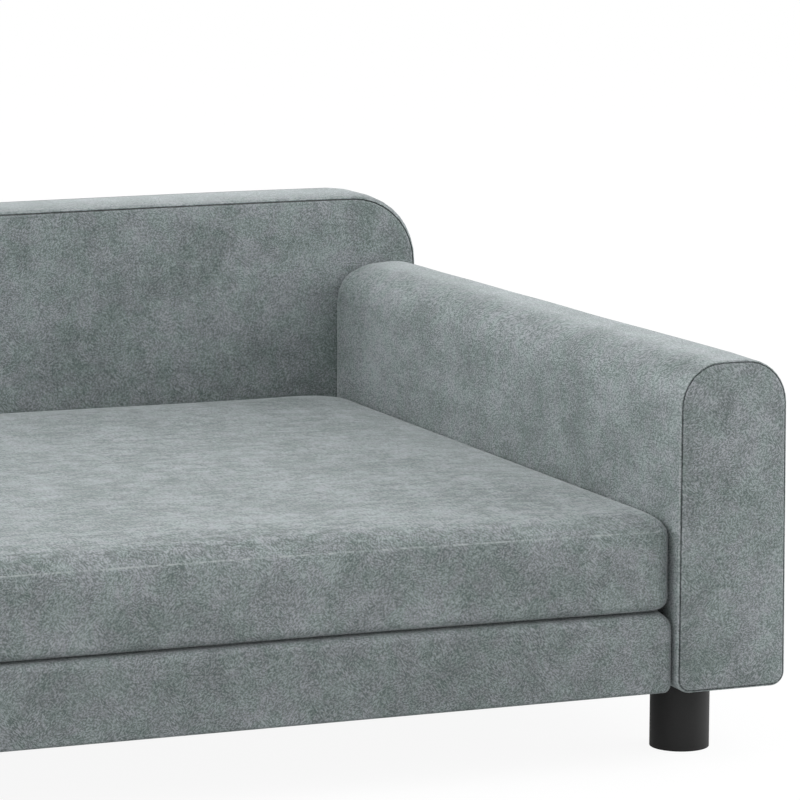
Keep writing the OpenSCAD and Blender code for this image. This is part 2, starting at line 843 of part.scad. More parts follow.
// Tape and closed coil, with a stop at each end
module cushion_zip() {
    color(CLOTH_DARK) {
        block([-zip_half, zip_y, zip_z - zip_tape_w / 2], [zip_half, coil_y, zip_z + zip_tape_w / 2]);
        block([-zip_half, coil_y, zip_z - zip_coil_w / 2], [zip_half, coil_y + zip_coil_t, zip_z + zip_coil_w / 2]);
        for (x = [-zip_half, zip_half - zip_stop_l])
            block([x, coil_y, zip_z - slider_w / 2],
                  [x + zip_stop_l, coil_y + zip_coil_t + slider_clear, zip_z + slider_w / 2]);
    }
}

module zip_slider() {
    inner_w = zip_coil_w + 2 * slider_clear;
    color(STEEL) translate([slider_x, 0, zip_z]) {
        difference() {
            block([-slider_l / 2, coil_y + slider_clear, -slider_w / 2],
                  [slider_l / 2, slider_y + slider_t, slider_w / 2]);
            block([-slider_l / 2 - overrun, coil_y, -inner_w / 2],
                  [slider_l / 2 + overrun, slider_y, inner_w / 2]);
        }
        bail();
    }
}

// The bridge on the slider that carries the pull
module bail() {
    base_y = slider_y + slider_t;
    difference() {
        block([-bail_t, base_y, -bail_l / 2], [bail_t, base_y + bail_h, bail_l / 2]);
        block([-bail_t - overrun, base_y - overrun, bail_t - bail_l / 2],
              [bail_t + overrun, base_y + bail_h - bail_t, bail_l / 2 - bail_t]);
    }
}

// The flat pull, which hangs from the bail by its eye
module zip_pull() {
    base_y = slider_y + slider_t + slider_clear;
    eye_z = bail_t - bail_l / 2 + slider_clear;
    color(STEEL) translate([slider_x, 0, zip_z]) difference() {
        block([-pull_w / 2, base_y, bail_l / 2 - bail_t - slider_clear - pull_l],
              [pull_w / 2, base_y + pull_t, bail_l / 2 - bail_t - slider_clear]);
        block([-bail_t - slider_clear, base_y - overrun, -bail_l / 2 - slider_clear],
              [bail_t + slider_clear, base_y + pull_t + overrun, eye_z]);
    }
}

for (side = SIDES) {
    arm_inner_board(side);
    arm_outer_board(side);
    arm_bottom_board(side);
    arm_top_rail(side);
    arm_ribs(side);
    arm_foam(side);
    arm_boxing(side);
    arm_front_panel(side);
    arm_rear_panel(side);
    base_rail(side);
}
back_front_board();
back_rear_board();
back_bottom_rail();
back_top_rail();
back_uprights();
back_front_foam();
back_edge_foam();
back_rear_wadding();
back_boxing();
back_front_panel();
back_rear_panel();
base_front_rail();
base_rear_rail();
base_slats();
deck_board();
base_foam();
base_cover();
dust_cover();
leg(true, true);  // front_left_leg
leg(true, false);  // front_right_leg
leg(false, true);  // rear_left_leg
leg(false, false);  // rear_right_leg
leg_studs();
leg_inserts();
leg_glides();
frame_bolts();
bolt_washers();
bolt_inserts();
cushion_top_panel();
cushion_boxing();
cushion_bottom_panel();
cushion_foam_core();
cushion_zip();
zip_slider();
zip_pull();
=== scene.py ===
# %% [markdown]
# # A low sofa bed for a dog
#
# This lesson dresses a imported CAD model of an upholstered dog sofa. The CAD model gives the sizes,
# the places and the moving bodies, and it stays as it is. Blender adds what cloth, foam and plastic
# look like: rounded seams, a filled cushion, a napped cover cloth, lights and a camera.
#
# First the frame is loaded. Its box is printed, and the last cell prints the finished look's box in
# the same way.

# %% Load the frame
import math

import bmesh
import bpy
from mathutils import Matrix, Vector, kdtree, noise


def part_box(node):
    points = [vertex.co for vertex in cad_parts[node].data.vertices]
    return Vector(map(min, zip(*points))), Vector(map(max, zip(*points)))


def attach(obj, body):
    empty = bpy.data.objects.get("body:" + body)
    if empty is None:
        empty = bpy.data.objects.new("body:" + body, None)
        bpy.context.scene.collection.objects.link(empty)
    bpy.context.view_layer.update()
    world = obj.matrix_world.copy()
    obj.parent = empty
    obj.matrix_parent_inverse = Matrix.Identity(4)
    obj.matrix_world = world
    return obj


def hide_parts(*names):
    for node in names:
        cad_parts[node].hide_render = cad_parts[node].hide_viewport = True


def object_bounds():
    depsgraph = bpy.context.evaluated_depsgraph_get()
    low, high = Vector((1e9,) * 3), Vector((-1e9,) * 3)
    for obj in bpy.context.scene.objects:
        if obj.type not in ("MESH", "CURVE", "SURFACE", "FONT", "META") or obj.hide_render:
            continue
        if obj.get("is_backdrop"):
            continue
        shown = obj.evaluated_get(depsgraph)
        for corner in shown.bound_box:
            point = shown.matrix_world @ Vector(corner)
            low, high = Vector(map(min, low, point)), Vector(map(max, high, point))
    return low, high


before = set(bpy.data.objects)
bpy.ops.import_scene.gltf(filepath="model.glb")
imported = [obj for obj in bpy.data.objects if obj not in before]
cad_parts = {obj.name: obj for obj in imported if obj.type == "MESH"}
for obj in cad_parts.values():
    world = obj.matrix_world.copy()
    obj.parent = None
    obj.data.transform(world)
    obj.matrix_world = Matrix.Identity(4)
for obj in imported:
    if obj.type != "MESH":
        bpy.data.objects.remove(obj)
cad_low, cad_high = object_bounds()
MM = 0.001
scene = bpy.context.scene


def in_mm(*corners):
    """The numbers of some corners in millimetres, for printing."""
    return [round(v / MM, 1) for corner in corners for v in corner]


print("CAD box in mm", in_mm(cad_low, cad_high))

# %% [markdown]
# ## Camera
#
# The picture was taken with a long lens from the front left, a little above the sofa. Its place
# and its angles come from the straight edges of the sofa. A camera in Blender looks along its own
# -Z with +Y up, so its three axes are built from the view direction and put into one matrix.

# %% Camera
PICTURE_SIDE = 800
FOCAL_IN_PIXELS = 4120.25
SENSOR_WIDTH = 36.0
CLIP_END = 60
YAW, PITCH, ROLL = 0.392233, 0.150300, -0.003842
CAMERA_PLACE = Vector((-688.77, -2570.11, 609.80)) * MM


def placed(name, data):
    """A new object in the scene."""
    made = bpy.data.objects.new(name, data)
    scene.collection.objects.link(made)
    return made


def view_axes(yaw, pitch, roll):
    """The camera's right, up and backward directions."""
    level = Vector((math.cos(yaw), -math.sin(yaw), 0))
    ahead = Vector((math.sin(yaw) * math.cos(pitch), math.cos(yaw) * math.cos(pitch), -math.sin(pitch)))
    up = level.cross(ahead)
    right = math.cos(roll) * level - math.sin(roll) * up
    return right, ahead.cross(right) * -1, ahead * -1


camera_data = bpy.data.cameras.new("view")
camera_data.sensor_width = SENSOR_WIDTH
camera_data.lens = FOCAL_IN_PIXELS * SENSOR_WIDTH / PICTURE_SIDE
camera_data.clip_end = CLIP_END
camera = placed("view", camera_data)
turned = Matrix(view_axes(YAW, PITCH, ROLL)).transposed().to_4x4()
camera.matrix_world = Matrix.Translation(CAMERA_PLACE) @ turned
scene.camera = camera
print("lens in mm", round(camera_data.lens, 1))

# %% [markdown]
# ## Arithmetic for materials
#
# A material's pattern is a sum of noises. Written as Python, `0.6 * strokes + 0.4 * clouds` is
# easier to read than a drawing of Math nodes. The class below wraps a socket. Its operators add
# Math nodes, and its one method adds any other node.

# %% Arithmetic on sockets


class Shade:
    """A socket in a material. Sums and products of it add Math nodes."""

    def __init__(self, tree, socket=None):
        self.tree = tree
        self.socket = socket

    def node(self, kind, settings=None, sockets=None, out=0):
        """Adds a node: first its settings, then a value or a link for each socket."""
        made = self.tree.nodes.new(kind)
        for name, value in (settings or {}).items():
            if name == "stops":
                while len(made.color_ramp.elements) < len(value):
                    made.color_ramp.elements.new(0.5)
                for element, (place, colour) in zip(made.color_ramp.elements, value):
                    element.position = place
                    element.color = colour
            else:
                setattr(made, name, value)
        for name, value in (sockets or {}).items():
            if isinstance(value, Shade):
                self.tree.links.new(value.socket, made.inputs[name])
            else:
                made.inputs[name].default_value = value
        return Shade(self.tree, made.outputs[out] if len(made.outputs) else None)

    def maths(self, operation, first, second):
        return self.node("ShaderNodeMath", {"operation": operation}, {0: first, 1: second})

    def __add__(self, other):
        return self.maths("ADD", self, other)

    def __mul__(self, other):
        return self.maths("MULTIPLY", self, other)

    def __sub__(self, other):
        return self.maths("SUBTRACT", self, other)

    def __rsub__(self, other):
        return self.maths("SUBTRACT", other, self)

    __radd__ = __add__
    __rmul__ = __mul__


def emptied(owner):
    """The Shade of a material or a world, with no nodes yet."""
    owner.use_nodes = True
    owner.node_tree.nodes.clear()
    return Shade(owner.node_tree)


print("arithmetic ready")

# %% [markdown]
# ## Patterns that the finishes share
#
# Every pattern reads Object coordinates. A finished piece sits at the origin with its place in its
# mesh, so these coordinates are metres in the sofa's own frame, and a scale of 500 gives marks of
# about two millimetres. A Mapping node shifts the pattern, so that two pieces that meet at a seam
# don't share one continuous pattern, just as two cut panels don't.

# %% Shared patterns
def object_place(start, shift=(0, 0, 0)):
    """Object coordinates in metres, shifted."""
    place = start.node("ShaderNodeTexCoord", out="Object")
    return start.node("ShaderNodeMapping", {}, {"Vector": place, "Location": shift})


def begun(name, shift=(0, 0, 0)):
    """A new material, and its coordinates."""
    material = bpy.data.materials.new(name)
    return material, object_place(emptied(material), shift)


def finish(material, sockets):
    """Gives a begun material its shader, from a value or a Shade for each socket."""
    start = Shade(material.node_tree)
    shader = start.node("ShaderNodeBsdfPrincipled", {}, sockets)
    start.node("ShaderNodeOutputMaterial", {}, {"Surface": shader})
    print("finish", material.name, "with", len(material.node_tree.nodes), "nodes")
    return material


def clouds(place, scale, detail=3.0, rough=0.6, warp=0.0):
    """Soft noise around 0.5, with marks of about one part in scale of a metre."""
    sockets = {"Vector": place, "Scale": scale, "Detail": detail, "Roughness": rough, "Distortion": warp}
    return place.node("ShaderNodeTexNoise", {}, sockets)


def drawn_out(place, stretch, turn=(0, 0, 0)):
    """Coordinates that draw a pattern out along X, Y and Z, after a turn."""
    sockets = {"Vector": place, "Rotation": turn, "Scale": stretch}
    return place.node("ShaderNodeMapping", {"vector_type": "TEXTURE"}, sockets)


def strokes(place, scale, turn, stretch=2.6):
    """Noise drawn out along one direction, which turn sets."""
    return clouds(drawn_out(place, (1, 1, stretch), turn), scale, 2.0, 0.62)


def along(place, axis):
    """One coordinate of a place."""
    return place.node("ShaderNodeSeparateXYZ", {}, {"Vector": place}, axis)


def between(value, low, high):
    """0 below low, 1 above high, with a smooth step from one to the other."""
    settings = {"interpolation_type": "SMOOTHSTEP"}
    return value.node("ShaderNodeMapRange", settings, {"Value": value, "From Min": low, "From Max": high})


def mixed(share, first, second):
    """A colour between two colours."""
    return share.node("ShaderNodeMix", {"data_type": "RGBA"}, {0: share, 6: first, 7: second}, out=2)


def ramp(value, *stops):
    """A colour looked up from stops of a place and a colour."""
    stops = [(place, (*colour, 1)) for place, colour in stops]
    return value.node("ShaderNodeValToRGB", {"stops": stops}, {"Fac": value})


def bumped(height, strength, depth):
    """A normal from a height between 0 and 1 that stands for a depth in metres."""
    return height.node("ShaderNodeBump", {}, {"Height": height, "Strength": strength, "Distance": depth})


print("shared patterns ready")

# %% [markdown]
# ## Cover cloth
#
# The cover is a suede-like microfibre. Its short nap lies in small patches that point different
# ways, so it shows fine crisp strokes, soft clouds of a few centimetres and a pale sheen at a
# slant. Three stroke patterns are laid in different directions, and two masks of noise choose
# between them. The nap is brushed from the back to the front, so every mark is drawn out along Y.
# Two colour ramps turn the sum into grey, one a little greener and one a little bluer, and a slow
# noise moves between the two. The cushion's top is used the most, so it also has faint streaks
# across it, which begin over the seam.
#
# Where cloth is folded at a seam, a painted highlight makes the fold's crest paler, and painted shade
# makes it dark down in the seam. The meshes carry this painted light as a number on each point: 1 on a
# fold and -1 in a seam. Real seams are uneven, so another noise breaks both lines up.

# %% Cover cloth
CLOTH_DARK = (0.121, 0.149, 0.144)
CLOTH_MID = (0.212, 0.243, 0.242)
CLOTH_LIGHT = (0.345, 0.378, 0.392)
CLOTH_STOPS = (0.34, 0.5, 0.66)
GREENER = (0.972, 1.008, 0.985)
BLUER = (1.028, 0.992, 1.018)
# Colours of the painted highlight on seam crests and of the painted shade down in seam grooves.
CLOTH_CREST_HIGHLIGHT = (0.46, 0.50, 0.50, 1)
CLOTH_SEAM_SHADE = (0.020, 0.026, 0.027, 1)
NAP_SCALE = 1350.0
NAP_TURNS = ((0.25, 0.8, 0.0), (-0.3, -0.75, 0.2), (1.2, 0.25, 0.9))
NAP_DRAWN, CUSHION_DRAWN = 2.2, 4.0
NAP_CRISP = 0.12
PATCH_SCALE, OTHER_SCALE = 70.0, 55.0
BROAD_SCALE, SMALL_SCALE = 13.0, 46.0
TINT_SCALE, UNEVEN_SCALE = 75.0, 190.0
NAP_SHARE, SMALL_SHARE, BROAD_SHARE = 0.27, 0.34, 0.24
CREST_HIGHLIGHT_LEAST, CREST_HIGHLIGHT_MORE = 0.1, 0.6
GROOVE_SHADE_MOST, GROOVE_SHADE_LESS = 0.85, 0.4
STREAK_SCALE, STREAK_DRAWN, STREAK_SHARE = 115.0, 2.0, 1.15
STREAKED = (150 * MM, 158 * MM)


def cloth_colours(tone, painted_light_level, tint):
    """The cloth's grey by tone, made brighter or darker by a painted light level, and tinted."""
    colours = (CLOTH_DARK, CLOTH_MID, CLOTH_LIGHT)
    tinted = [tuple(c * painted_light_level * t for c, t in zip(colour, tint)) for colour in colours]
    return ramp(tone, *zip(CLOTH_STOPS, tinted))


def streaks(place, low, high):
    """Faint streaks along X, around 0, that come in between two heights."""
    laid = drawn_out(place, (STREAK_DRAWN, 1, 1))
    over = between(along(object_place(place), "Z"), low, high)
    return over * (clouds(laid, STREAK_SCALE, 6.0, 0.82, 0.3) - 0.5)


def nap_cloth(name, shift, painted_light_level=1.0, stretch=NAP_DRAWN, streaked=None):
    """Microfibre cloth with its pattern shifted, so that each panel has its own, and a painted light level
    that makes a panel brighter or darker for the light that falls on it.
    """
    material, place = begun(name, shift)
    laid = drawn_out(place, (1, stretch, 1))
    first, second, third = (strokes(laid, NAP_SCALE, turn) for turn in NAP_TURNS)
    patch = between(clouds(place, PATCH_SCALE, 2.0), 0.42, 0.58)
    other = between(clouds(place, OTHER_SCALE, 2.0, warp=0.6), 0.45, 0.6)
    nap = first + patch * (second - first)
    nap = between(nap + other * (third - nap), 0.5 - NAP_CRISP, 0.5 + NAP_CRISP)
    broad = clouds(place, BROAD_SCALE, 3.0, 0.55)
    small = clouds(laid, SMALL_SCALE, 4.0, 0.66, 0.4)
    rest = 0.5 * (1 - NAP_SHARE - SMALL_SHARE - BROAD_SHARE)
    tone = nap * NAP_SHARE + small * SMALL_SHARE + broad * BROAD_SHARE + rest
    if streaked:
        tone = tone + streaks(place, *streaked) * STREAK_SHARE
    tint = between(clouds(place, TINT_SCALE, 2.0, 0.6, 0.3), 0.36, 0.64)
    colour = mixed(tint, cloth_colours(tone, painted_light_level, GREENER), cloth_colours(tone, painted_light_level, BLUER))
    # A point attribute paints a highlight on seam crests and paints shade down in seam grooves.
    fold = place.node("ShaderNodeAttribute", {"attribute_name": "fold"}, out="Fac")
    uneven = between(clouds(place, UNEVEN_SCALE, 3.0, 0.7), 0.40, 0.60)
    crest_highlight = between(fold, 0.0, 1.0) * (CREST_HIGHLIGHT_LEAST + uneven * CREST_HIGHLIGHT_MORE)
    groove_shade = between(0 - fold, 0.0, 1.0) * (GROOVE_SHADE_MOST - uneven * GROOVE_SHADE_LESS)
    colour = mixed(groove_shade, mixed(crest_highlight, colour, CLOTH_CREST_HIGHLIGHT), CLOTH_SEAM_SHADE)
    sockets = {
        "Base Color": colour,
        "Roughness": 1.0 - tone * 0.16,
        "Specular IOR Level": 0.18,
        "Sheen Weight": 0.7,
        "Sheen Roughness": 0.3,
        "Sheen Tint": (0.86, 0.91, 0.93, 1),
        "Normal": bumped(nap * 0.8 + small * 0.2, 0.6, 0.3 * MM),
    }
    return finish(material, sockets)


# Each cloth's third number is a painted light level: one cloth, painted brighter or darker on each panel for
# the light that falls there.
arm_cloth = nap_cloth("arm_cloth", (0, 0, 0), 1.15)
panel_cloth = nap_cloth("panel_cloth", (1.7, 0.4, 0.9), 1.11)
back_cloth = nap_cloth("back_cloth", (3.1, 1.3, 0.2), 1.12)
back_top_cloth = nap_cloth("back_top_cloth", (2.2, 0.6, 1.1), 1.04)
base_cloth = nap_cloth("base_cloth", (5.2, 0.8, 2.3), 0.98)
cushion_cloth = nap_cloth("cushion_cloth", (7.4, 2.1, 1.6), 1.04, CUSHION_DRAWN, STREAKED)

# %% [markdown]
# ## Timber
#
# The frame inside is plywood, pine and a thin hardboard deck. Pine has bands that run along the
# board. A noise that is stretched along the grain gives bands, and a finer one gives fibres.
# Plywood is the same idea with paler, wider figure.

# %% Timber
ALONG_X = (14, 1, 1)
ALONG_Y = (1, 14, 1)
PLYWOOD = (0.42, 0.27, 0.13), (0.66, 0.48, 0.27), 45
PINE = (0.52, 0.32, 0.14), (0.76, 0.56, 0.31), 90


def timber(name, grain, dark, pale, band_scale):
    """Wood whose bands run along the grain, a vector of stretches in X, Y and Z."""
    material, place = begun(name)
    laid = drawn_out(place, grain)
    fibres = clouds(laid, band_scale * 9, 2.0, 0.7)
    tone = clouds(laid, band_scale, 3.0, 0.5, 0.8) * 0.7 + fibres * 0.3
    sockets = {
        "Base Color": ramp(tone, (0.35, dark), (0.65, pale)),
        "Roughness": 0.55 + fibres * 0.3,
        "Normal": bumped(tone, 0.3, 0.4 * MM),
    }
    return finish(material, sockets)


plywood_arm = timber("plywood_arm", ALONG_Y, *PLYWOOD)
plywood_back = timber("plywood_back", ALONG_X, *PLYWOOD)
pine_deep = timber("pine_deep", ALONG_Y, *PINE)
pine_wide = timber("pine_wide", ALONG_X, *PINE)
hardboard = timber("hardboard", (3, 3, 1), (0.13, 0.07, 0.035), (0.24, 0.14, 0.075), 160)

# %% [markdown]
# ## Fillings
#
# Foam is a cream sponge: thousands of small open cells. A Voronoi pattern gives the cells, as
# bump and as painted shade that makes the pits slightly darker. Wadding is white and fibrous, and
# the dust cover is a thin black non-woven cloth with a pressed pattern of dots.

# %% Fillings
def sponge(name, pale, dark, scale):
    """Open-cell foam."""
    material, place = begun(name)
    cells = place.node("ShaderNodeTexVoronoi", {}, {"Vector": place, "Scale": scale})
    # The pits are darker: painted shade in the cells.
    tone = cells * 0.7 + clouds(place, scale * 0.1, 3.0) * 0.3
    colour = ramp(tone, (0.1, dark), (0.5, pale))
    return finish(material, {"Base Color": colour, "Roughness": 0.95, "Normal": bumped(cells, 0.6, 0.6 * MM)})


def fibre_mat(name, dark, pale, scale, depth):
    """Loose fibres pressed into a mat."""
    material, place = begun(name)
    nap = strokes(place, scale, (0.4, 0.9, 0.0), 4.0) * 0.5
    nap = nap + strokes(place, scale, (-0.8, -0.5, 0.7), 4.0) * 0.5
    colour = ramp(nap, (0.38, dark), (0.6, pale))
    return finish(material, {"Base Color": colour, "Roughness": 0.97, "Normal": bumped(nap, 0.5, depth)})


def pressed_cloth(name, dark, pale, pitch):
    """Non-woven cloth with a pressed pattern of dots."""
    material, place = begun(name)
    sockets = {"Vector": place, "Scale": 1 / pitch, "Randomness": 0.12}
    mark = between(place.node("ShaderNodeTexVoronoi", {"distance": "CHEBYCHEV"}, sockets), 0.2, 0.34)
    tone = mark * 0.6 + clouds(place, 240.0, 3.0) * 0.4
    sockets = {
        "Base Color": ramp(tone, (0.15, dark), (0.85, pale)),
        "Roughness": 0.7 + mark * 0.2,
        "Normal": bumped(mark, 0.5, 0.3 * MM),
    }
    return finish(material, sockets)


foam = sponge("foam", (0.80, 0.73, 0.54), (0.56, 0.47, 0.30), 620)
wadding = fibre_mat("wadding", (0.62, 0.62, 0.61), (0.85, 0.85, 0.84), 260, 1.2 * MM)
felt = fibre_mat("felt", (0.030, 0.026, 0.023), (0.085, 0.075, 0.068), 700, 0.6 * MM)
dust_cloth = pressed_cloth("dust_cloth", (0.010, 0.010, 0.011), (0.030, 0.030, 0.032), 2.2 * MM)

# %% [markdown]
# ## Plastic and metal
#
# The legs are moulded in black plastic with a fine even texture that spreads the highlight. The
# bolts, studs and the zip's slider are zinc-plated steel, with small changes in roughness. The zip
# tape is a woven band, with ribs along its length.

# %% Plastic and metal
def moulded(name, colour, lift):
    """Moulded plastic with a fine texture."""
    material, place = begun(name)
    grain = clouds(place, 1500.0, 2.0, 0.7)
    haze = clouds(place, 60.0, 3.0)
    sockets = {
        "Base Color": ramp(grain * 0.5 + haze * 0.5, (0.3, colour), (0.7, lift)),
        "Roughness": 0.5 + haze * 0.16,
        "Specular IOR Level": 0.3,
        "Normal": bumped(grain, 0.18, 0.2 * MM),
    }
    return finish(material, sockets)


def plated(name, dark, pale, rough):
    """Plated steel."""
    material, place = begun(name)
    haze = clouds(place, 300.0, 4.0, 0.7)
    sockets = {
        "Base Color": ramp(haze, (0.35, dark), (0.65, pale)),
        "Metallic": 1.0,
        "Roughness": rough + haze * 0.2,
        "Normal": bumped(haze, 0.15, 0.1 * MM),
    }
    return finish(material, sockets)


def woven_tape(name, dark, pale, pitch):
    """A woven band with ribs across Z and picks across X."""
    material, place = begun(name)
    turns = [along(place, axis) * (2 * math.pi / pitch) for axis in "ZX"]
    rib, pick = (turn.node("ShaderNodeMath", {"operation": "SINE"}, {0: turn}) for turn in turns)
    weave = rib * pick * 0.5 + 0.5
    tone = weave * 0.6 + clouds(place, 500.0, 2.0) * 0.4
    colour = ramp(tone, (0.2, dark), (0.8, pale))
    return finish(material, {"Base Color": colour, "Roughness": 0.86, "Normal": bumped(weave, 0.5, 0.2 * MM)})


leg_plastic = moulded("leg_plastic", (0.013, 0.013, 0.013), (0.021, 0.021, 0.021))
steel = plated("steel", (0.48, 0.49, 0.50), (0.70, 0.71, 0.73), 0.24)
zip_tape = woven_tape("zip_tape", (0.10, 0.12, 0.12), (0.17, 0.20, 0.20), 0.9 * MM)
zip_nylon = moulded("zip_nylon", (0.085, 0.105, 0.105), (0.12, 0.14, 0.14))

# %% [markdown]
# ## Pieces inside
#
# Boards, rails, studs and bolts keep their CAD shape. Each gets its finish here. They hardly show
# on the finished sofa, but a reader who takes the model apart finds them.

# %% Finishes for the CAD pieces that stay
KEPT = {
    plywood_arm: ["arm_inner_board", "arm_outer_board"],
    plywood_back: ["back_front_board", "back_rear_board"],
    pine_deep: ["arm_bottom_board", "arm_top_rail", "arm_ribs", "base_rail", "base_slats", "back_uprights"],
    pine_wide: ["back_bottom_rail", "back_top_rail", "base_front_rail", "base_rear_rail"],
    hardboard: ["deck_board"],
    dust_cloth: ["dust_cover"],
    steel: ["leg_studs", "leg_inserts", "frame_bolts", "bolt_washers", "bolt_inserts"],
    felt: ["leg_glides"],
}


def give(node, material):
    """Puts one material on a CAD piece."""
    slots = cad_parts[node].data.materials
    slots.clear()
    slots.append(material)


for material, stems in KEPT.items():
    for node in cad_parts:
        if node in stems or node.split("_", 1)[-1] in stems:
            give(node, material)
print("kept pieces dressed", sum(len(stems) for stems in KEPT.values()))

# %% [markdown]
# ## Rounded loops
#
# An upholstered box is a stack of rounded rectangles. Each loop starts as four points and one
# face, and a bevel on its points rounds the corners. Only the edges are kept. Bridging one loop to
# the next makes the wall between them, and as all loops have the same number of points, the wall
# is made of neat quads. A loop at an end is filled last, because a face in it could twist the wall.

# %% Rounded loops
CORNER_STEPS = 9


def bevelled(bm, geom, radius, steps, affect="EDGES"):
    """Rounds edges, or with VERTICES the corners of a flat face."""
    bmesh.ops.bevel(
        bm,
        geom=geom,
        offset=radius,
        offset_type="OFFSET",
        segments=steps,
        profile=0.5,
        affect=affect,
        material=-1,
    )


def rounded_loop(bm, box, y, top_r, low_r, fold=0.0):
    """A closed loop across Y in a box of x0, x1, z0 and z1. It returns its edges."""
    x0, x1, z0, z1 = box
    # Every point of the loop carries the cloth's painted seam light: a painted highlight above 0, painted
    # shade below 0.
    tag = bm.verts.layers.float.get("fold") or bm.verts.layers.float.new("fold")
    before = set(bm.verts)
    corners = [bm.verts.new((x, y, z)) for x, z in ((x0, z0), (x1, z0), (x1, z1), (x0, z1))]
    bm.faces.new(corners)
    for group, radius in ((corners[:2], low_r), (corners[2:], top_r)):
        bevelled(bm, group, radius, CORNER_STEPS, "VERTICES")
    made = [v for v in bm.verts if v not in before]
    for v in made:
        v[tag] = fold
    face = made[0].link_faces[0]
    edges = list(face.edges)
    bmesh.ops.delete(bm, geom=[face], context="FACES_ONLY")
    return edges


def bridged(bm, loops, ends=()):
    """Joins each loop to the next one, then fills the loops at the ends."""
    for first, second in zip(loops, loops[1:]):
        bmesh.ops.bridge_loops(bm, edges=first + second)
    for k in ends:
        bmesh.ops.edgeloop_fill(bm, edges=loops[k])
    if ends:
        bmesh.ops.recalc_face_normals(bm, faces=bm.faces)


def whole(bm):
    """All of a mesh, for an operator."""
    return bm.verts[:] + bm.edges[:] + bm.faces[:]


def cut_across(bm, axis, low, high, pitch):
    """Cuts the mesh into strips of about the pitch between two places on an axis."""
    count = max(1, round((high - low) / pitch))
    normal = Vector((axis == 0, axis == 1, axis == 2))
    for k in range(count + 1):
        place = normal * (low + (high - low) * k / count)
        bmesh.ops.bisect_plane(bm, geom=whole(bm), dist=1e-7, plane_co=place, plane_no=normal)


def ease(value):
    """A smooth step from 0 to 1."""
    value = max(0.0, min(1.0, value))
    return value * value * (3 - 2 * value)


def rising(value, start, reach):
    """0 up to a start, and from there a smooth step to 1 over a reach."""
    return ease((value - start) / reach)


print("a rounded corner has", CORNER_STEPS, "steps")

# %% [markdown]
# ## Keeping a piece
#
# A finished piece is an object at the origin that rides on a body, has its material and hides the
# CAD piece that it stands for. Smooth shading with a sharp angle keeps folds crisp.

# %% Keep a piece
SHARP_ANGLE = math.radians(55)


def keep(name, bm, material, body, stands_for=(), wall=0.0):
    """Makes the object of a finished mesh. A wall gives an open skin its thickness, inwards."""
    bmesh.ops.recalc_face_normals(bm, faces=bm.faces)
    mesh = bpy.data.meshes.new(name)
    bm.to_mesh(mesh)
    bm.free()
    mesh.materials.append(material)
    mesh.shade_smooth()
    mesh.set_sharp_from_angle(angle=SHARP_ANGLE)
    piece = placed(name, mesh)
    if wall:
        solid = piece.modifiers.new("wall", "SOLIDIFY")
        solid.thickness = wall
        solid.offset = -1
    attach(piece, body)
    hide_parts(*stands_for)
    box = [[end(c[k] for c in piece.bound_box) for k in range(3)] for end in (min, max)]
    print(name, "box in mm", in_mm(*box), "faces", len(mesh.polygons))
    return piece


# %% [markdown]
# ## Sewn edges
#
# Where a strip of cloth meets a panel, both are folded inwards and sewn. From outside that is a
# small round crest on each side of a narrow groove, dark from its depth and from painted shade. A
# profile lists that as pairs: how far in from the outline, and how far behind the front plane. The
# third number is painted light for the cloth: a painted highlight on a crest above 0, painted shade
# in the groove below 0. The same profile serves the arms' fronts and both ends of the back. The rear
# end of an arm presses on the back, so its strip rolls further in there, and leaves a pocket that is
# dark from its depth and from painted shade.

# %% Profiles of a sewn edge
# The third column paints light: a painted highlight on a crest above 0, painted shade in the groove below 0.
STRIP_EDGE = (
    (1.05, 1.3, -1.0),
    (0.8, 0.7, -0.95),
    (0.45, 0.5, -0.4),
    (0.0, 0.75, 0.5),
    (-0.3, 1.3, 0.8),
    (-0.45, 2.4, 0.0),
    (-0.4, 5.5, 0.0),
    (-0.15, 10.0, 0.0),
)
REAR_EDGE = (
    (2.6, 1.0, -1.0),
    (2.3, 0.8, -0.8),
    (1.9, 0.9, 0.0),
    (1.4, 1.4, 0.4),
    (0.9, 2.4, 0.0),
    (0.5, 3.8, 0.0),
    (0.2, 6.0, 0.0),
    (0.0, 10.0, 0.0),
)
PANEL_EDGE = (
    (1.05, 1.35, -1.0),
    (1.05, 0.6, -0.95),
    (1.25, 0.15, -0.7),
    (1.7, -0.05, 0.4),
    (2.8, -0.15, 0.1),
    (5.1, -0.3, 0.0),
)
PANEL_INNER = tuple((inset, -0.3 - 0.001 * inset, 0.0) for inset in (8.5, 13, 19, 25))
LEAST_RADIUS = 0.6 * MM


def inset_box(box, inset):
    """A box of x0, x1, z0 and z1 made smaller all round."""
    x0, x1, z0, z1 = box
    return x0 + inset, x1 - inset, z0 + inset, z1 - inset


def inset_radii(radii, inset):
    """The corners' radii on a smaller loop."""
    return [max(radius - inset, LEAST_RADIUS) for radius in radii]


def depth_inside(v, box, radii):
    """How far inside a rounded outline a point lies."""
    x0, x1, z0, z1 = box
    aside = min(v.co.x - x0, x1 - v.co.x)
    above = v.co.z - z0
    below = z1 - v.co.z
    radius, upright = (radii[0], below) if below < above else (radii[1], above)
    if aside < radius and upright < radius:
        return radius - math.hypot(radius - aside, radius - upright)
    return min(aside, upright)


print("a strip's edge has", len(STRIP_EDGE), "loops and a panel's", len(PANEL_EDGE))

# %% [markdown]
# ## Strips and panels
#
# An arm is a tall box with foam round it: a long strip of cloth goes round its sides, and a panel
# closes each end. The strip bulges a little between its seams, because foam never lies quite flat.
# The panel swells towards its middle. Both are a little uneven, but not at their seams.

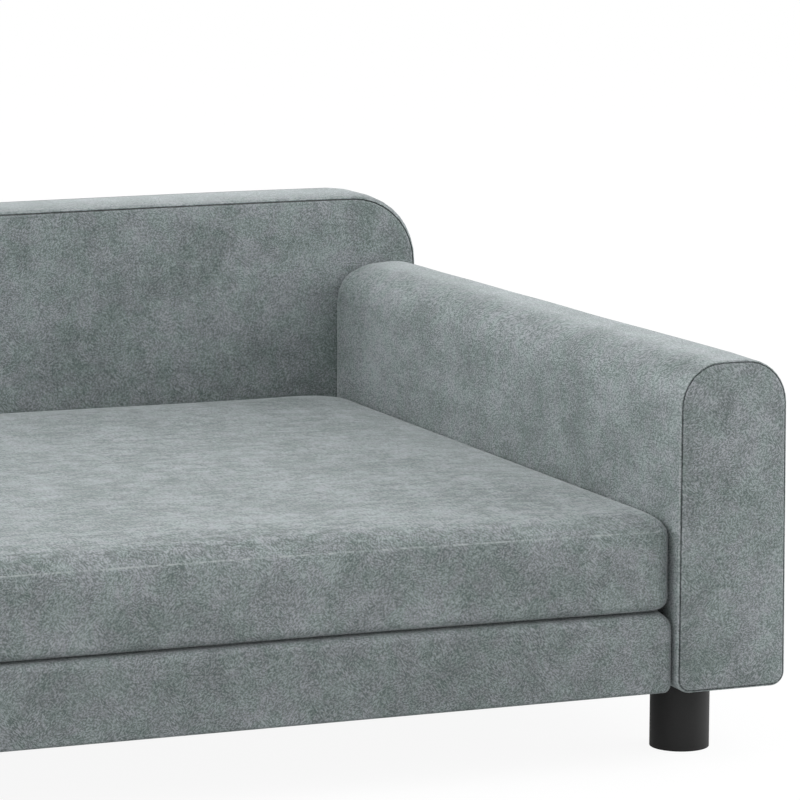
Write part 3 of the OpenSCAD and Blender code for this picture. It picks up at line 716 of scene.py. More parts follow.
# %% Strip and end panel
CLOTH_WALL = 0.7 * MM
STRIP_STATIONS = 14
STRIP_PITCH, ROUND_PITCH = 12 * MM, 14 * MM
LOW_BULGE = 0.3
EDGE_CALM, STRIP_FADE, PANEL_FADE = 5 * MM, 40 * MM, 20 * MM
STRIP_UNEVEN, PANEL_UNEVEN = (0.45 * MM, 0.09), (0.5 * MM, 0.07)
PANEL_RIM = 14 * MM
SWELL_START, SWELL_REACH = 2 * MM, 30 * MM


def unevenness(v, amount, size, seed):
    """A slow random rise between -amount and amount, at a point."""
    return amount * noise.noise(v.co / size + Vector((seed, seed * 0.37, -seed)))


def strip(name, box, front, rear, radii, material, node, crown, seed, limit=None, rear_edge=STRIP_EDGE):
    """The strip of cloth round an upholstered box, with a sewn edge at each end.

    radii gives the top and low radius for a share of the depth, crown the bulge there.
    """
    bm = bmesh.new()
    loops = []
    length = rear - front
    profile = [(i * MM, d * MM, f) for i, d, f in STRIP_EDGE]
    profile += [(0.0, length * k / STRIP_STATIONS, 0.0) for k in range(1, STRIP_STATIONS)]
    profile += [(i * MM, length - d * MM, f) for i, d, f in reversed(rear_edge)]
    for inset, depth, fold in profile:
        bulge = crown(depth / length)
        x0, x1, _, z1 = inset_box(box, inset - bulge)
        outline = (x0, x1, box[2] + inset - LOW_BULGE * bulge, z1)
        radius = inset_radii(radii(depth / length), inset - bulge)
        loops.append(rounded_loop(bm, outline, front + depth, *radius, fold))
    bridged(bm, loops)
    top_r, low_r = radii(0.5)
    cut_across(bm, 1, front + STRIP_PITCH, rear - STRIP_PITCH, STRIP_PITCH)
    cut_across(bm, 2, box[2] + low_r, box[3] - top_r, ROUND_PITCH)
    cut_across(bm, 0, box[0] + top_r, box[1] - top_r, ROUND_PITCH)
    bm.normal_update()
    for v in bm.verts:
        weight = rising(min(v.co.y - front, rear - v.co.y), EDGE_CALM, STRIP_FADE)
        v.co += v.normal * weight * unevenness(v, *STRIP_UNEVEN, seed)
        if limit:
            limit(v)
    return keep(name, bm, material, "sofa", [node], CLOTH_WALL)


def end_panel(name, box, plane, facing, radii, material, node, pillow, seed, room=None):
    """A sewn-in end panel that faces the front (-1) or the rear (1). room scales its swelling."""
    bm = bmesh.new()
    loops = []
    for inset, depth, fold in PANEL_EDGE + PANEL_INNER:
        outline, radius = inset_box(box, inset * MM), inset_radii(radii, inset * MM)
        loops.append(rounded_loop(bm, outline, plane - facing * depth * MM, *radius, fold))
    bridged(bm, loops, [-1])
    cut_across(bm, 2, box[2] + PANEL_RIM, box[3] - PANEL_RIM, STRIP_PITCH)
    cut_across(bm, 0, box[0] + PANEL_RIM, box[1] - PANEL_RIM, STRIP_PITCH)
    for v in bm.verts:
        reach = depth_inside(v, box, radii)
        swell = pillow * (1 - (1 - min(1.0, max(0.0, reach - SWELL_START) / SWELL_REACH)) ** 2)
        rough = rising(reach, EDGE_CALM, PANEL_FADE) * unevenness(v, *PANEL_UNEVEN, seed)
        v.co.y += facing * (room(v) if room else 1.0) * (swell + rough)
    return keep(name, bm, material, "sofa", [node], CLOTH_WALL)


# %% [markdown]
# ## Foam under the cloth
#
# Foam pads the boards on every side that shows. It is cut a little rounder than the cover, so that
# it stays inside the sewn edges. The same rounded loops make it: round the outside from the front
# to the rear, then back through the core, so that it is one closed solid with room for the boards.

# %% Foam padding
FOAM_EDGE = ((3.6, 1.7), (2.5, 2.2), (1.8, 3.6))
FOAM_INSET = FOAM_EDGE[-1][0] * MM
FOAM_STATIONS = 8
FOAM_BULGE = 0.9
CORE_R = 1 * MM
LAYER_EDGE = ((0.0, 1.2 * MM), (0.8 * MM, 0.0))


def foam_wrap(name, box, front, rear, radii, crown, core, core_front, nodes, core_r=CORE_R):
    """Foam round a core of boards, closed at the front, open for the boards at the rear."""
    bm = bmesh.new()
    loops = []
    length = rear - front
    profile = [(i * MM, d * MM) for i, d in FOAM_EDGE]
    profile += [(FOAM_INSET, length * k / FOAM_STATIONS) for k in range(1, FOAM_STATIONS + 1)]
    for inset, depth in profile:
        grown = inset - FOAM_BULGE * crown(depth / length)
        x0, x1, _, z1 = inset_box(box, grown)
        radius = inset_radii(radii(depth / length), grown)
        loops.append(rounded_loop(bm, (x0, x1, box[2] + inset, z1), front + depth, *radius))
    loops += [rounded_loop(bm, core, y, core_r, CORE_R) for y in (rear, core_front)]
    bridged(bm, loops, [0, -1])
    return keep(name, bm, foam, "sofa", nodes)


def layer(name, box, front, rear, radii, material, node):
    """A flat layer with the outline of the box and a rounded front edge."""
    bm = bmesh.new()
    loops = []
    for y, more in [(front + behind, more) for behind, more in LAYER_EDGE] + [(rear, 0.001 * MM)]:
        radius = inset_radii(radii, FOAM_INSET + more)
        loops.append(rounded_loop(bm, inset_box(box, FOAM_INSET + more), y, *radius))
    bridged(bm, loops, [0, -1])
    return keep(name, bm, material, "sofa", [node])


# %% [markdown]
# ## Arms
#
# The arm's top is rounder towards the rear. Its outer side leans out a little towards the floor,
# and its inner side is flat where the seat presses on it. Near the back, the arm is squeezed: its
# inner side swells towards the seat there, and its top goes down a little.

# %% Arms
ARM_FRONT_R, ARM_REAR_R, ARM_LOW_R = 27.5 * MM, 30 * MM, 8.5 * MM
ARM_CROWN = 1.3 * MM
CROWN_START, CROWN_END, CROWN_FALL, CROWN_FALL_REACH = 0.05, 0.014, 0.75, 0.4
ARM_LIFT, ARM_HANG = 0.8 * MM, 0.7 * MM
ARM_SWELL = 0.65 * MM
ARM_PILLOW = 1.4 * MM
ARM_FOAM_CROWN = 0.4
REAR_SWELL, REAR_DIP, REAR_REACH = 0.9 * MM, 1.8 * MM, 60 * MM
REAR_ROOM = 0.2
REAR_TUCK = (REAR_EDGE[0][0] - PANEL_EDGE[0][0]) * MM
FLARE_LOW, FLARE_TOP = 1.5 * MM, -0.5 * MM
SWELL_UNDER, SWELL_RISE, SWELL_WIDE = 18 * MM, 10 * MM, 20 * MM
DIP_UNDER, DIP_RISE, DIP_IN, DIP_OUT = 14 * MM, 8 * MM, (6 * MM, 10 * MM), (24 * MM, 36 * MM)
PRESS_UNDER, PRESS_FADE, PRESS_BEHIND, PRESS_RISE = 12 * MM, 16 * MM, 5 * MM, 8 * MM
SEAT_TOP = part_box("cushion_top_panel")[1].z


def arm_radii(share):
    return ARM_FRONT_R + (ARM_REAR_R - ARM_FRONT_R) * share, ARM_LOW_R


def arm_crown(share):
    ends = ease(share / CROWN_START) * ease((1 - share) / CROWN_END)
    return ARM_CROWN * ends * (1 - CROWN_FALL * ease(share / CROWN_FALL_REACH))


def settled(piece, sign, box, rear):
    """Squeezes an arm near the back, and leans its outer side out."""
    inner = box[0] if sign > 0 else box[1]
    for v in piece.data.vertices:
        near = rising(v.co.y, rear - REAR_REACH, REAR_REACH)
        inward = abs(v.co.x - inner)
        over_seat = rising(v.co.z, SEAT_TOP - SWELL_UNDER, SWELL_RISE)
        v.co.x -= sign * REAR_SWELL * near * over_seat * (1 - ease(inward / SWELL_WIDE))
        across = rising(inward, *DIP_IN) * (1 - rising(inward, *DIP_OUT))
        v.co.z -= REAR_DIP * near * across * rising(v.co.z, box[3] - DIP_UNDER, DIP_RISE)
        share = abs(v.co.x - inner) / (box[1] - box[0])
        up = (v.co.z - box[2]) / (box[3] - box[2])
        v.co.x += sign * share * (FLARE_LOW + (FLARE_TOP - FLARE_LOW) * up)


def seat_side(sign, face, front):
    """Keeps the side of an arm flat where the seat presses on it."""

    def limit(v):
        low_down = 1 - rising(v.co.z, SEAT_TOP - PRESS_UNDER, PRESS_FADE)
        behind = rising(v.co.y, front + PRESS_BEHIND, PRESS_RISE)
        v.co.x += sign * max(0.0, sign * (face - v.co.x)) * low_down * behind

    return limit


for side, sign in (("right", 1), ("left", -1)):
    low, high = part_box(f"{side}_arm_boxing")
    (low if sign > 0 else high).x -= sign * ARM_SWELL
    arm_box = (low.x, high.x, low.z - ARM_HANG, high.z + ARM_LIFT)
    flat = seat_side(sign, low.x if sign > 0 else high.x, low.y)
    seed = 3.0 + sign
    boards = [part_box(f"{side}_arm_{board}_board") for board in ("inner", "outer")]
    core_low, core_high = boards[0]
    core_x = sorted(v.x for pair in boards for v in pair)
    core = (core_x[0], core_x[-1], core_low.z, core_high.z)
    arm = f"{side}_arm"
    end_box, end_radii = inset_box(arm_box, REAR_TUCK), [r - REAR_TUCK for r in arm_radii(1)]
    front_plane = (arm_box, low.y, -1, arm_radii(0), panel_cloth, f"{arm}_front_panel", ARM_PILLOW, seed)
    rear_plane = (end_box, high.y, 1, end_radii, panel_cloth, f"{arm}_rear_panel", 0.0, seed)
    pieces = [
        strip(
            f"{arm}_strip", arm_box, low.y, high.y, arm_radii, arm_cloth, f"{arm}_boxing", arm_crown, seed,
            flat, REAR_EDGE,
        ),
        end_panel(f"{arm}_face", *front_plane),
        end_panel(f"{arm}_end", *rear_plane, lambda v: REAR_ROOM),
        foam_wrap(
            f"{arm}_padding", arm_box, low.y, core_high.y, arm_radii,
            lambda share: ARM_FOAM_CROWN * arm_crown(share), core, core_low.y, [f"{arm}_foam"],
        ),
    ]
    for piece in pieces:
        settled(piece, sign, arm_box, high.y)

# %% [markdown]
# ## Back
#
# The back is the same kind of box, lying across. Its strip is crowned between its two seams, which
# is why the top of the real one stands a few millimetres over the seam. Its front panel swells a
# little between the arms and stays flat where an arm presses on it. The long top sags by a few
# millimetres towards the middle. The foam and the wadding have no points along the top that could
# sag with it, so they are lower by the whole sag.

# %% Back
BACK_SEAM_R, BACK_TOP_R, BACK_R_REACH = 49 * MM, 45.5 * MM, 0.1
BACK_SIDE_TUCK = 1.9 * MM
BACK_LIFT = 0.4 * MM
BACK_CROWN, BACK_CROWN_POWER, BACK_FOAM_CROWN = 2.8 * MM, 3, 0.6
BACK_SAG = 3.2 * MM
FRONT_PILLOW, REAR_PILLOW = 1.8 * MM, 2.2 * MM
PRESSED_ROOM = 0.08
FREE_IN, FREE_REACH, FREE_OVER, FREE_RISE = 4 * MM, 35 * MM, 2 * MM, 14 * MM
low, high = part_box("back_boxing")
arm_inner, arm_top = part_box("right_arm_boxing")[0].x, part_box("right_arm_boxing")[1].z
back_box = (low.x + BACK_SIDE_TUCK, high.x - BACK_SIDE_TUCK, low.z, high.z + BACK_LIFT)
filling_box = (*back_box[:3], back_box[3] - BACK_SAG)


def back_radii(share):
    """The strip's corner is fuller than the seams at its two ends."""
    middle = ease(min(share, 1 - share) / BACK_R_REACH)
    return BACK_SEAM_R + (BACK_TOP_R - BACK_SEAM_R) * middle, ARM_LOW_R


def back_crown(share):
    return BACK_CROWN * (1 - abs(2 * share - 1) ** BACK_CROWN_POWER)


def between_arms(v):
    """1 where the back is free, near 0 where an arm presses on it."""
    inside = ease((arm_inner - FREE_IN - abs(v.co.x)) / FREE_REACH)
    over = rising(v.co.z, arm_top + FREE_OVER, FREE_RISE)
    return PRESSED_ROOM + (1 - PRESSED_ROOM) * max(inside, over)


def sagged(piece):
    """Lowers a piece of the back towards its middle, most at its top."""
    for v in piece.data.vertices:
        over = rising(v.co.z, low.z, high.z - low.z)
        v.co.z -= BACK_SAG * over * (1 - ease(abs(v.co.x) / arm_inner))


board_low, board_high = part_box("back_front_board")
wadding_low, wadding_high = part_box("back_rear_wadding")
back_core = (board_low.x, board_high.x, board_low.z, board_high.z)
front_plane = (back_box, low.y, -1, back_radii(0), back_cloth, "back_front_panel", FRONT_PILLOW, 8.0)
rear_plane = (back_box, high.y, 1, back_radii(1), panel_cloth, "back_rear_panel", REAR_PILLOW, 9.0)
pieces = [
    strip("back_strip", back_box, low.y, high.y, back_radii, back_top_cloth, "back_boxing", back_crown, 7.0),
    end_panel("back_face", *front_plane, between_arms),
    end_panel("back_rear_face", *rear_plane),
]
for piece in pieces:
    sagged(piece)
foam_wrap(
    "back_padding", filling_box, low.y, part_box("back_rear_board")[1].y, back_radii,
    lambda share: BACK_FOAM_CROWN * back_crown(share), back_core, board_low.y,
    ["back_front_foam", "back_edge_foam"], BACK_TOP_R,
)
layer(
    "back_wadding", filling_box, wadding_low.y, wadding_high.y, back_radii(0), wadding,
    "back_rear_wadding",
)

# %% [markdown]
# ## Seat base
#
# The base is a shallow box between the arms. Its cover is one cloth pulled over foam, so its edges
# are round and carry no seam. In plan its front corners are rounder than its long front edges,
# so each loop near the front is drawn in by two different amounts. Its front edge droops under
# the cushion's weight. Underneath, the cover ends in a hem.

# %% Seat base
BASE_TOP_R, BASE_LOW_R = 11.5 * MM, 5 * MM
BASE_CORNER_R, BASE_EDGE_R, BASE_FOLD_R = 8 * MM, 5.5 * MM, 2.5 * MM
BASE_R_SHARE = 0.8
BASE_SIDE_GAP = 0.4 * MM
BASE_HANG = 1.2 * MM
BASE_BULGE, BASE_BULGE_REACH, BASE_UNEVEN = 0.7 * MM, 16 * MM, (0.45 * MM, 0.1)
FRONT_SAG, FRONT_SAG_REACH, FRONT_SAG_SIDES = 1.9 * MM, 30 * MM, 0.4
SIDE_START, SIDE_REACH = 200 * MM, 200 * MM
SEAT_SLIT = 0.6 * MM
HEM = 22 * MM
BASE_PITCH, BASE_HIGH_PITCH = 20 * MM, 8 * MM
ROUND_STEPS = 7


def arc_in(radius, depth):
    """How far a rounded edge is drawn in at a depth behind its front."""
    reach = max(0.0, radius - depth)
    return radius - math.sqrt(max(0.0, radius * radius - reach * reach))


def seat_slab(low, high, inset):
    """A rounded slab between two corners. Its front corners are rounder in plan than its edges."""
    bm = bmesh.new()
    loops = []
    depths = [BASE_CORNER_R * (1 - math.cos(math.pi / 2 * k / ROUND_STEPS)) for k in range(ROUND_STEPS + 1)]
    for depth in depths + [high.y - low.y - inset]:
        in_x, in_top, in_low = (arc_in(r, depth) + inset for r in (BASE_CORNER_R, BASE_EDGE_R, BASE_FOLD_R))
        box = (low.x + in_x, high.x - in_x, low.z + in_low, high.z - in_top)
        radius = inset_radii((BASE_TOP_R, BASE_LOW_R), in_top * BASE_R_SHARE)
        loops.append(rounded_loop(bm, box, low.y + depth + (0 if loops else inset), *radius))
    bridged(bm, loops, [0, -1])
    return bm


def front_sag(v, front):
    """How much the seat's front edge droops under the cushion's weight."""
    towards_side = rising(abs(v.co.x), SIDE_START, SIDE_REACH)
    return FRONT_SAG * (1 + FRONT_SAG_SIDES * towards_side) * (1 - ease((v.co.y - front) / FRONT_SAG_REACH))


low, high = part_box("base_cover")
low.z -= BASE_HANG
low.x, high.x = low.x + ARM_SWELL, high.x - ARM_SWELL
bm = seat_slab(low, high, BASE_SIDE_GAP)
cut_across(bm, 1, low.y + HEM, high.y - HEM, BASE_PITCH)
cut_across(bm, 0, low.x + HEM, high.x - HEM, BASE_PITCH)
cut_across(bm, 2, low.z + 8 * MM, high.z - 12 * MM, BASE_HIGH_PITCH)
bm.normal_update()
for v in bm.verts:
    if v.normal.y < -0.8:
        weight = ease(min(v.co.z - low.z, high.z - v.co.z) / BASE_BULGE_REACH)
        v.co.y -= weight * (BASE_BULGE + unevenness(v, *BASE_UNEVEN, 11.0))
    droop = front_sag(v, low.y) * (1 + SEAT_SLIT / FRONT_SAG)
    v.co.z -= droop * rising(v.co.z, low.z, high.z - low.z)
middles = [(f, f.calc_center_median()) for f in bm.faces if f.normal.z < -0.9]
under = [f for f, m in middles if abs(m.x) < high.x - HEM and low.y + HEM < m.y < high.y - HEM]
bmesh.ops.delete(bm, geom=under, context="FACES")
keep("seat_base_cover", bm, base_cloth, "sofa", ["base_cover"], CLOTH_WALL)

# %% Seat base foam
FOAM_WALL = 9 * MM
FOAM_GAP = 1.3 * MM
FOAM_UNDER = 4 * MM
foam_low, foam_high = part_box("base_foam")
foam_drop = (1 + FRONT_SAG_SIDES) * FRONT_SAG + SEAT_SLIT
bm = seat_slab(foam_low - Vector((0, 0, FOAM_UNDER)), foam_high - Vector((0, 0, foam_drop)), FOAM_GAP)
floor_of_foam = foam_low + Vector((0, 0, 1 * MM))
bmesh.ops.bisect_plane(bm, geom=whole(bm), plane_co=floor_of_foam, plane_no=(0, 0, -1), clear_outer=True)
keep("seat_base_foam", bm, foam, "sofa", ["base_foam"], FOAM_WALL)

# %% [markdown]
# ## Seat cushion: its starting form
#
# The cushion is foam in a sewn cover: a boxing strip between a top and a bottom panel. It starts
# as a block that is as high as its rim. A bevel rounds its upright corners, another rounds its
# rims, and cuts divide it into small quads for the simulation. The upper seam runs on the rim's
# arc, and the lower one underneath, out of sight. The block is a little wider than the room between
# the arms, because a cushion is squeezed in there.

# %% Cushion block
CUSHION_CORNER_R, CUSHION_TOP_R, CUSHION_LOW_R = 17 * MM, 9 * MM, 8 * MM
SIDE_PRESS = 1.5 * MM
SEAM_LEVEL, CROWN_TOP = 149.1 * MM, 160.6 * MM
UPRIGHT_STEPS, RIM_STEPS = 5, 5
SEAM_STEP, LOW_SEAM_STEP = 2, 4
SIM_PITCH = 10 * MM
SEAM_ANGLE, LOW_SEAM_ANGLE = (math.pi / 2 * step / RIM_STEPS for step in (SEAM_STEP, LOW_SEAM_STEP))
SEAM_IN = CUSHION_TOP_R * (1 - math.cos(SEAM_ANGLE))
skin_low, skin_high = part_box("cushion_boxing")
cushion_middle = (skin_low + skin_high) / 2
cushion_half = (skin_high - skin_low) / 2 + Vector((SIDE_PRESS, 0, 0))
block_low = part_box("cushion_bottom_panel")[0].z
block_top = SEAM_LEVEL + CUSHION_TOP_R * (1 - math.sin(SEAM_ANGLE))
low_seam_level = block_low + CUSHION_LOW_R * (1 - math.sin(LOW_SEAM_ANGLE))


def block(bm, size, middle=(0, 0, 0)):
    """Adds a plain block."""
    bmesh.ops.create_cube(bm, size=1)
    bmesh.ops.scale(bm, vec=size, verts=bm.verts)
    bmesh.ops.translate(bm, vec=middle, verts=bm.verts)


def upright_edges(bm):
    """The edges that go up."""
    return [e for e in bm.edges if abs(e.verts[0].co.z - e.verts[1].co.z) > MM]


def ring_at(bm, z, slack=1e-6):
    """The level edges at a height."""
    return [e for e in bm.edges if all(abs(v.co.z - z) < slack for v in e.verts)]


bm = bmesh.new()
block_size = (2 * cushion_half.x, 2 * cushion_half.y, block_top - block_low)
block(bm, block_size, (cushion_middle.x, cushion_middle.y, (block_top + block_low) / 2))
bevelled(bm, upright_edges(bm), CUSHION_CORNER_R, UPRIGHT_STEPS)
bevelled(bm, ring_at(bm, block_top), CUSHION_TOP_R, RIM_STEPS)
bevelled(bm, ring_at(bm, block_low), CUSHION_LOW_R, RIM_STEPS)
for height in (SEAM_LEVEL, low_seam_level):
    for edge in ring_at(bm, height, 0.05 * MM):
        edge.seam = True
for axis in (0, 1):
    flat = cushion_half[axis] - CUSHION_CORNER_R
    cut_across(bm, axis, cushion_middle[axis] - flat, cushion_middle[axis] + flat, SIM_PITCH)
cut_across(bm, 2, block_low + CUSHION_LOW_R, block_top - CUSHION_TOP_R, SIM_PITCH)
bmesh.ops.recalc_face_normals(bm, faces=bm.faces)
print("cushion block", len(bm.verts), "points,", sum(e.seam for e in bm.edges), "seam edges")
cushion_mesh = bpy.data.meshes.new("seat_cushion")
bm.to_mesh(cushion_mesh)
bm.free()

# %% [markdown]
# ## Seat cushion: the filling
#
# The Cloth simulation blows the cover up from inside with no gravity, as the foam does. The bottom
# is held, because it lies on the base. How far a point may move is capped, and the sides keep clear
# of the arms. The cap on the top grows quickly from the rim inwards, as a full cushion's shoulder
# does, and the foam core holds a point up to most of that height even where the cover is slack.
# Between the corners the crown pulls the edges up a little, and the sides are drawn in, most at the
# rear, where the zip is. At the front the top rises in a short slope, and under the seam the front
# leans back.

# %% Cushion simulation
SIM_FRAMES = 20
SIM_SETTINGS = {
    "quality": 4,
    "mass": 0.25,
    "tension_stiffness": 20,
    "compression_stiffness": 20,
    "shear_stiffness": 8,
    "bending_stiffness": 1.5,
    "use_pressure": True,
    "uniform_pressure_force": 4.0,
    "vertex_group_mass": "held",
}
HELD_SHARE = 0.12
SIDE_CAP = 0.9 * MM
FOAM_SHARE = 0.85
SHOULDER_REACH, SHOULDER_POWER = 60 * MM, 4
FRONT_LIFT, FRONT_LIFT_REACH = 1.3 * MM, 300 * MM
REAR_LIFT, REAR_LIFT_REACH = 1.6 * MM, 70 * MM
SIDE_LIFT, SIDE_LIFT_REACH = 2.6 * MM, 30 * MM
FRONT_RISE, FRONT_RISE_MORE = 6.8 * MM, 3.4 * MM
FRONT_SLOPE, SLOPE_BEND = 21.0 * MM, 0.35
PLATEAU_REACH = 150 * MM
FRONT_DRAW, REAR_DRAW, SIDE_DRAW = 1.0 * MM, 6.5 * MM, 0.4 * MM
DRAW_REACH, DRAW_POWER = 110 * MM, 6
FRONT_ROLL, FRONT_ROLL_REACH = 3.0 * MM, 18 * MM
LOW_TAPER, LOW_TAPER_REACH = 0.5 * MM, 20 * MM


def inside_rim(v):
    """How far inside the upper seam a point lies, from the short sides and from the long ones."""
    return (cushion_half[axis] - abs(v.co[axis] - cushion_middle[axis]) - SEAM_IN for axis in (0, 1))


def shoulder(reach):
    """The share of the crown's height at a distance inside the seam."""
    return 1 - (1 - max(0.0, min(1.0, reach / SHOULDER_REACH))) ** SHOULDER_POWER


def front_slope(along_y):
    """The share of the front slope that lies before a point: straight, then a soft bend at 1."""
    way = along_y / FRONT_SLOPE
    if way < 1 - SLOPE_BEND:
        return max(0.0, way)
    return way - (way - 1 + SLOPE_BEND) ** 2 / (4 * SLOPE_BEND) if way < 1 + SLOPE_BEND else 1.0


def front_level(v):
    """The height of the top above a point near the front, before the edges are pulled up."""
    aside, along_y = inside_rim(v)
    inward = ease(aside / FRONT_LIFT_REACH)
    bend = SEAM_LEVEL + FRONT_LIFT * inward + FRONT_RISE + FRONT_RISE_MORE * inward
    level = SEAM_LEVEL + (bend - SEAM_LEVEL) * front_slope(along_y)
    return level + (CROWN_TOP - bend) * rising(along_y, FRONT_SLOPE, PLATEAU_REACH)


def crown_cap(v):
    """The most that a point may rise: nothing under the rim, and the whole crown in the middle."""
    aside, along_y = inside_rim(v)
    over = rising(v.co.z, block_top - CUSHION_TOP_R, CUSHION_TOP_R)
    cap = (CROWN_TOP - block_top) * shoulder(aside) * shoulder(along_y) * over
    if v.co.y < cushion_middle.y and v.co.z > SEAM_LEVEL:
        cap = min(cap, front_level(v) - v.co.z)
    return cap


def capped(value, cap):
    """A length that nears the cap without passing it."""
    return cap * math.tanh(value / cap)


def risen(v, rise):
    """How far a point rises, from how far the simulation lifts it."""
    cap = crown_cap(v)
    return cap if cap <= 0 else cap * FOAM_SHARE + (1 - FOAM_SHARE) * capped(max(0.0, rise), cap)


def edge_lift(v):
    """How far the crown pulls an edge up between two corners."""
    aside, along_y = inside_rim(v)
    if v.co.y < cushion_middle.y:
        lift = FRONT_LIFT * ease(aside / FRONT_LIFT_REACH) * (1 - front_slope(along_y))
    else:
        lift = REAR_LIFT * ease(aside / REAR_LIFT_REACH) * (1 - shoulder(along_y))
    lift += SIDE_LIFT * ease(along_y / SIDE_LIFT_REACH) * (1 - shoulder(aside))
    return lift * rising(v.co.z, block_low, SEAM_LEVEL - block_low)


def drawn_in(v):
    """How far the sides come in between two corners."""
    x, y = v.co.x - cushion_middle.x, v.co.y - cushion_middle.y
    from_side, from_end = cushion_half.x - abs(x), cushion_half.y - abs(y)
    draw_x = SIDE_DRAW * ease(from_end / DRAW_REACH)
    draw_x += LOW_TAPER * (1 - rising(v.co.z, block_low, LOW_TAPER_REACH))
    draw_x *= (abs(x) / cushion_half.x) ** DRAW_POWER
    draw_y = (REAR_DRAW if y > 0 else FRONT_DRAW) * ease(from_side / DRAW_REACH)
    if y < 0:
        leaning = max(0.0, min(1.0, 1 + (v.co.z - SEAM_LEVEL) / FRONT_ROLL_REACH)) ** 2
        draw_y += FRONT_ROLL * leaning * ease(from_side / (2 * CUSHION_CORNER_R))
    draw_y *= (abs(y) / cushion_half.y) ** DRAW_POWER
    return Vector((-math.copysign(draw_x, x), -math.copysign(draw_y, y), 0))


def inflated(mesh):
    """The mesh's points after the simulation."""
    sack = placed("sack", mesh.copy())
    held = sack.vertex_groups.new(name="held")
    for v in sack.data.vertices:
        height = (v.co.z - block_low) / (block_top - block_low)
        held.add([v.index], 1.0 if height < HELD_SHARE else 0.0, "REPLACE")
    cloth = sack.modifiers.new("Cloth", "CLOTH")
    for name, value in SIM_SETTINGS.items():
        setattr(cloth.settings, name, value)
    cloth.settings.effector_weights.gravity = 0
    cloth.point_cache.frame_start = 1
    cloth.point_cache.frame_end = SIM_FRAMES
    for number in range(1, SIM_FRAMES + 1):
        scene.frame_set(number)
    shown = sack.evaluated_get(bpy.context.evaluated_depsgraph_get())
    points = [v.co.copy() for v in shown.data.vertices]
    scene.frame_set(1)
    bpy.data.objects.remove(sack)
    return points


filled = inflated(cushion_mesh)
moves = [p - v.co for v, p in zip(cushion_mesh.vertices, filled)]
print("largest rise before the cap in mm", round(max(moved.z for moved in moves) / MM, 1))
shifts = []
for v, moved in zip(cushion_mesh.vertices, moves):
    rise = risen(v, moved.z) + edge_lift(v)
    shifts.append(drawn_in(v) + Vector((capped(moved.x, SIDE_CAP), capped(moved.y, SIDE_CAP), rise)))
for v, shift in zip(cushion_mesh.vertices, shifts):
    v.co += shift
print("top of the crown in mm", round(max(v.co.z for v in cushion_mesh.vertices) / MM, 1))

# %% [markdown]
# ## Seat cushion: the seams
#
# One subdivision rounds the simulated skin. Then the two seams are pressed in, because a
# simulation would smooth them away. A bevel lays four narrow strips along each seam. Points on its
# middle line go in a little, and points just under it come out as the fold of the boxing strip. The
# seam is pulled tight, so all that shows of it is a thin pale line, a painted highlight on the points
# of its middle line.

# %% Cushion seams
SEAM_REACH = 2.2 * MM
SEAM_DEPTH, FOLD_RISE = 0.1 * MM, 0.1 * MM
SEAM_MIDDLE, SEAM_FOLD, SEAM_OUTSIDE = 0.25, 0.75, 1.2
SEAM_SHINE = 1.0
SEAM_SAMPLES = 12
TOP_UNEVEN, TOP_UNEVEN_REACH = (0.7 * MM, 0.12), 40 * MM
LOW_REACH = 18 * MM
SIDE_STOP = skin_high.x - 0.1 * MM
CUSHION_NODES = ("cushion_top_panel", "cushion_boxing", "cushion_bottom_panel", "cushion_foam_core")


def subdivided(mesh):
    """The mesh after one smooth subdivision."""
    holder = placed("holder", mesh)
    smooth = holder.modifiers.new("smooth", "SUBSURF")
    smooth.levels = smooth.render_levels = 1
    shown = holder.evaluated_get(bpy.context.evaluated_depsgraph_get())
    made = bpy.data.meshes.new_from_object(shown)
    bpy.data.objects.remove(holder)
    return made


bm = bmesh.new()
bm.from_mesh(subdivided(cushion_mesh))
seam_edges = [e for e in bm.edges if e.seam]
print("seam edges after subdivision", len(seam_edges), "of", len(bm.edges))
shares = [k / SEAM_SAMPLES for k in range(SEAM_SAMPLES)]
samples = [e.verts[0].co.lerp(e.verts[1].co, share) for e in seam_edges for share in shares]
seam_tree = kdtree.KDTree(len(samples))
for k, place in enumerate(samples):
    seam_tree.insert(place, k)
seam_tree.balance()
bevelled(bm, seam_edges, SEAM_REACH, 4)
bm.normal_update()
tag = bm.verts.layers.float.new("fold")
middle_z = (block_top + block_low) / 2
for v in bm.verts:
    near, index, away = seam_tree.find(v.co)
    if away < SEAM_OUTSIDE * SEAM_REACH:
        under = (near.z - v.co.z) * (1 if v.co.z > middle_z else -1)
        if away < SEAM_MIDDLE * SEAM_REACH:
            # Points on the seam's middle line get a painted highlight.
            v[tag] = SEAM_SHINE
            v.co -= v.normal * SEAM_DEPTH
        elif away < SEAM_FOLD * SEAM_REACH and under > 0:
            v.co += v.normal * FOLD_RISE
for v in bm.verts:
    reach = min(cushion_half.x - abs(v.co.x), cushion_half.y - abs(v.co.y - cushion_middle.y))
    top = rising(v.co.z, block_top - 2 * MM, 6 * MM) * ease(reach / TOP_UNEVEN_REACH)
    v.co.z += top * unevenness(v, *TOP_UNEVEN, 5.0)
    v.co.z -= (1 - rising(v.co.z, block_low, LOW_REACH)) * front_sag(v, skin_low.y)
    v.co.x = max(-SIDE_STOP, min(SIDE_STOP, v.co.x))
keep("seat_cushion", bm, cushion_cloth, "cushion", CUSHION_NODES)

# %% [markdown]
# ## Legs
#
# Each leg is a turned cylinder of black plastic. Half of its outline is drawn as points from axis
# to axis, and a full spin makes the leg. The recess under it holds the felt glide.

# %% Legs
LEG_R, LEG_TOP, LEG_LOW = 19 * MM, 48 * MM, 0.1 * MM
GLIDE_HOLE_R, GLIDE_HOLE_TOP = 15.3 * MM, 3 * MM
LEG_EDGE = 0.35 * MM
LEG_FACETS = 72


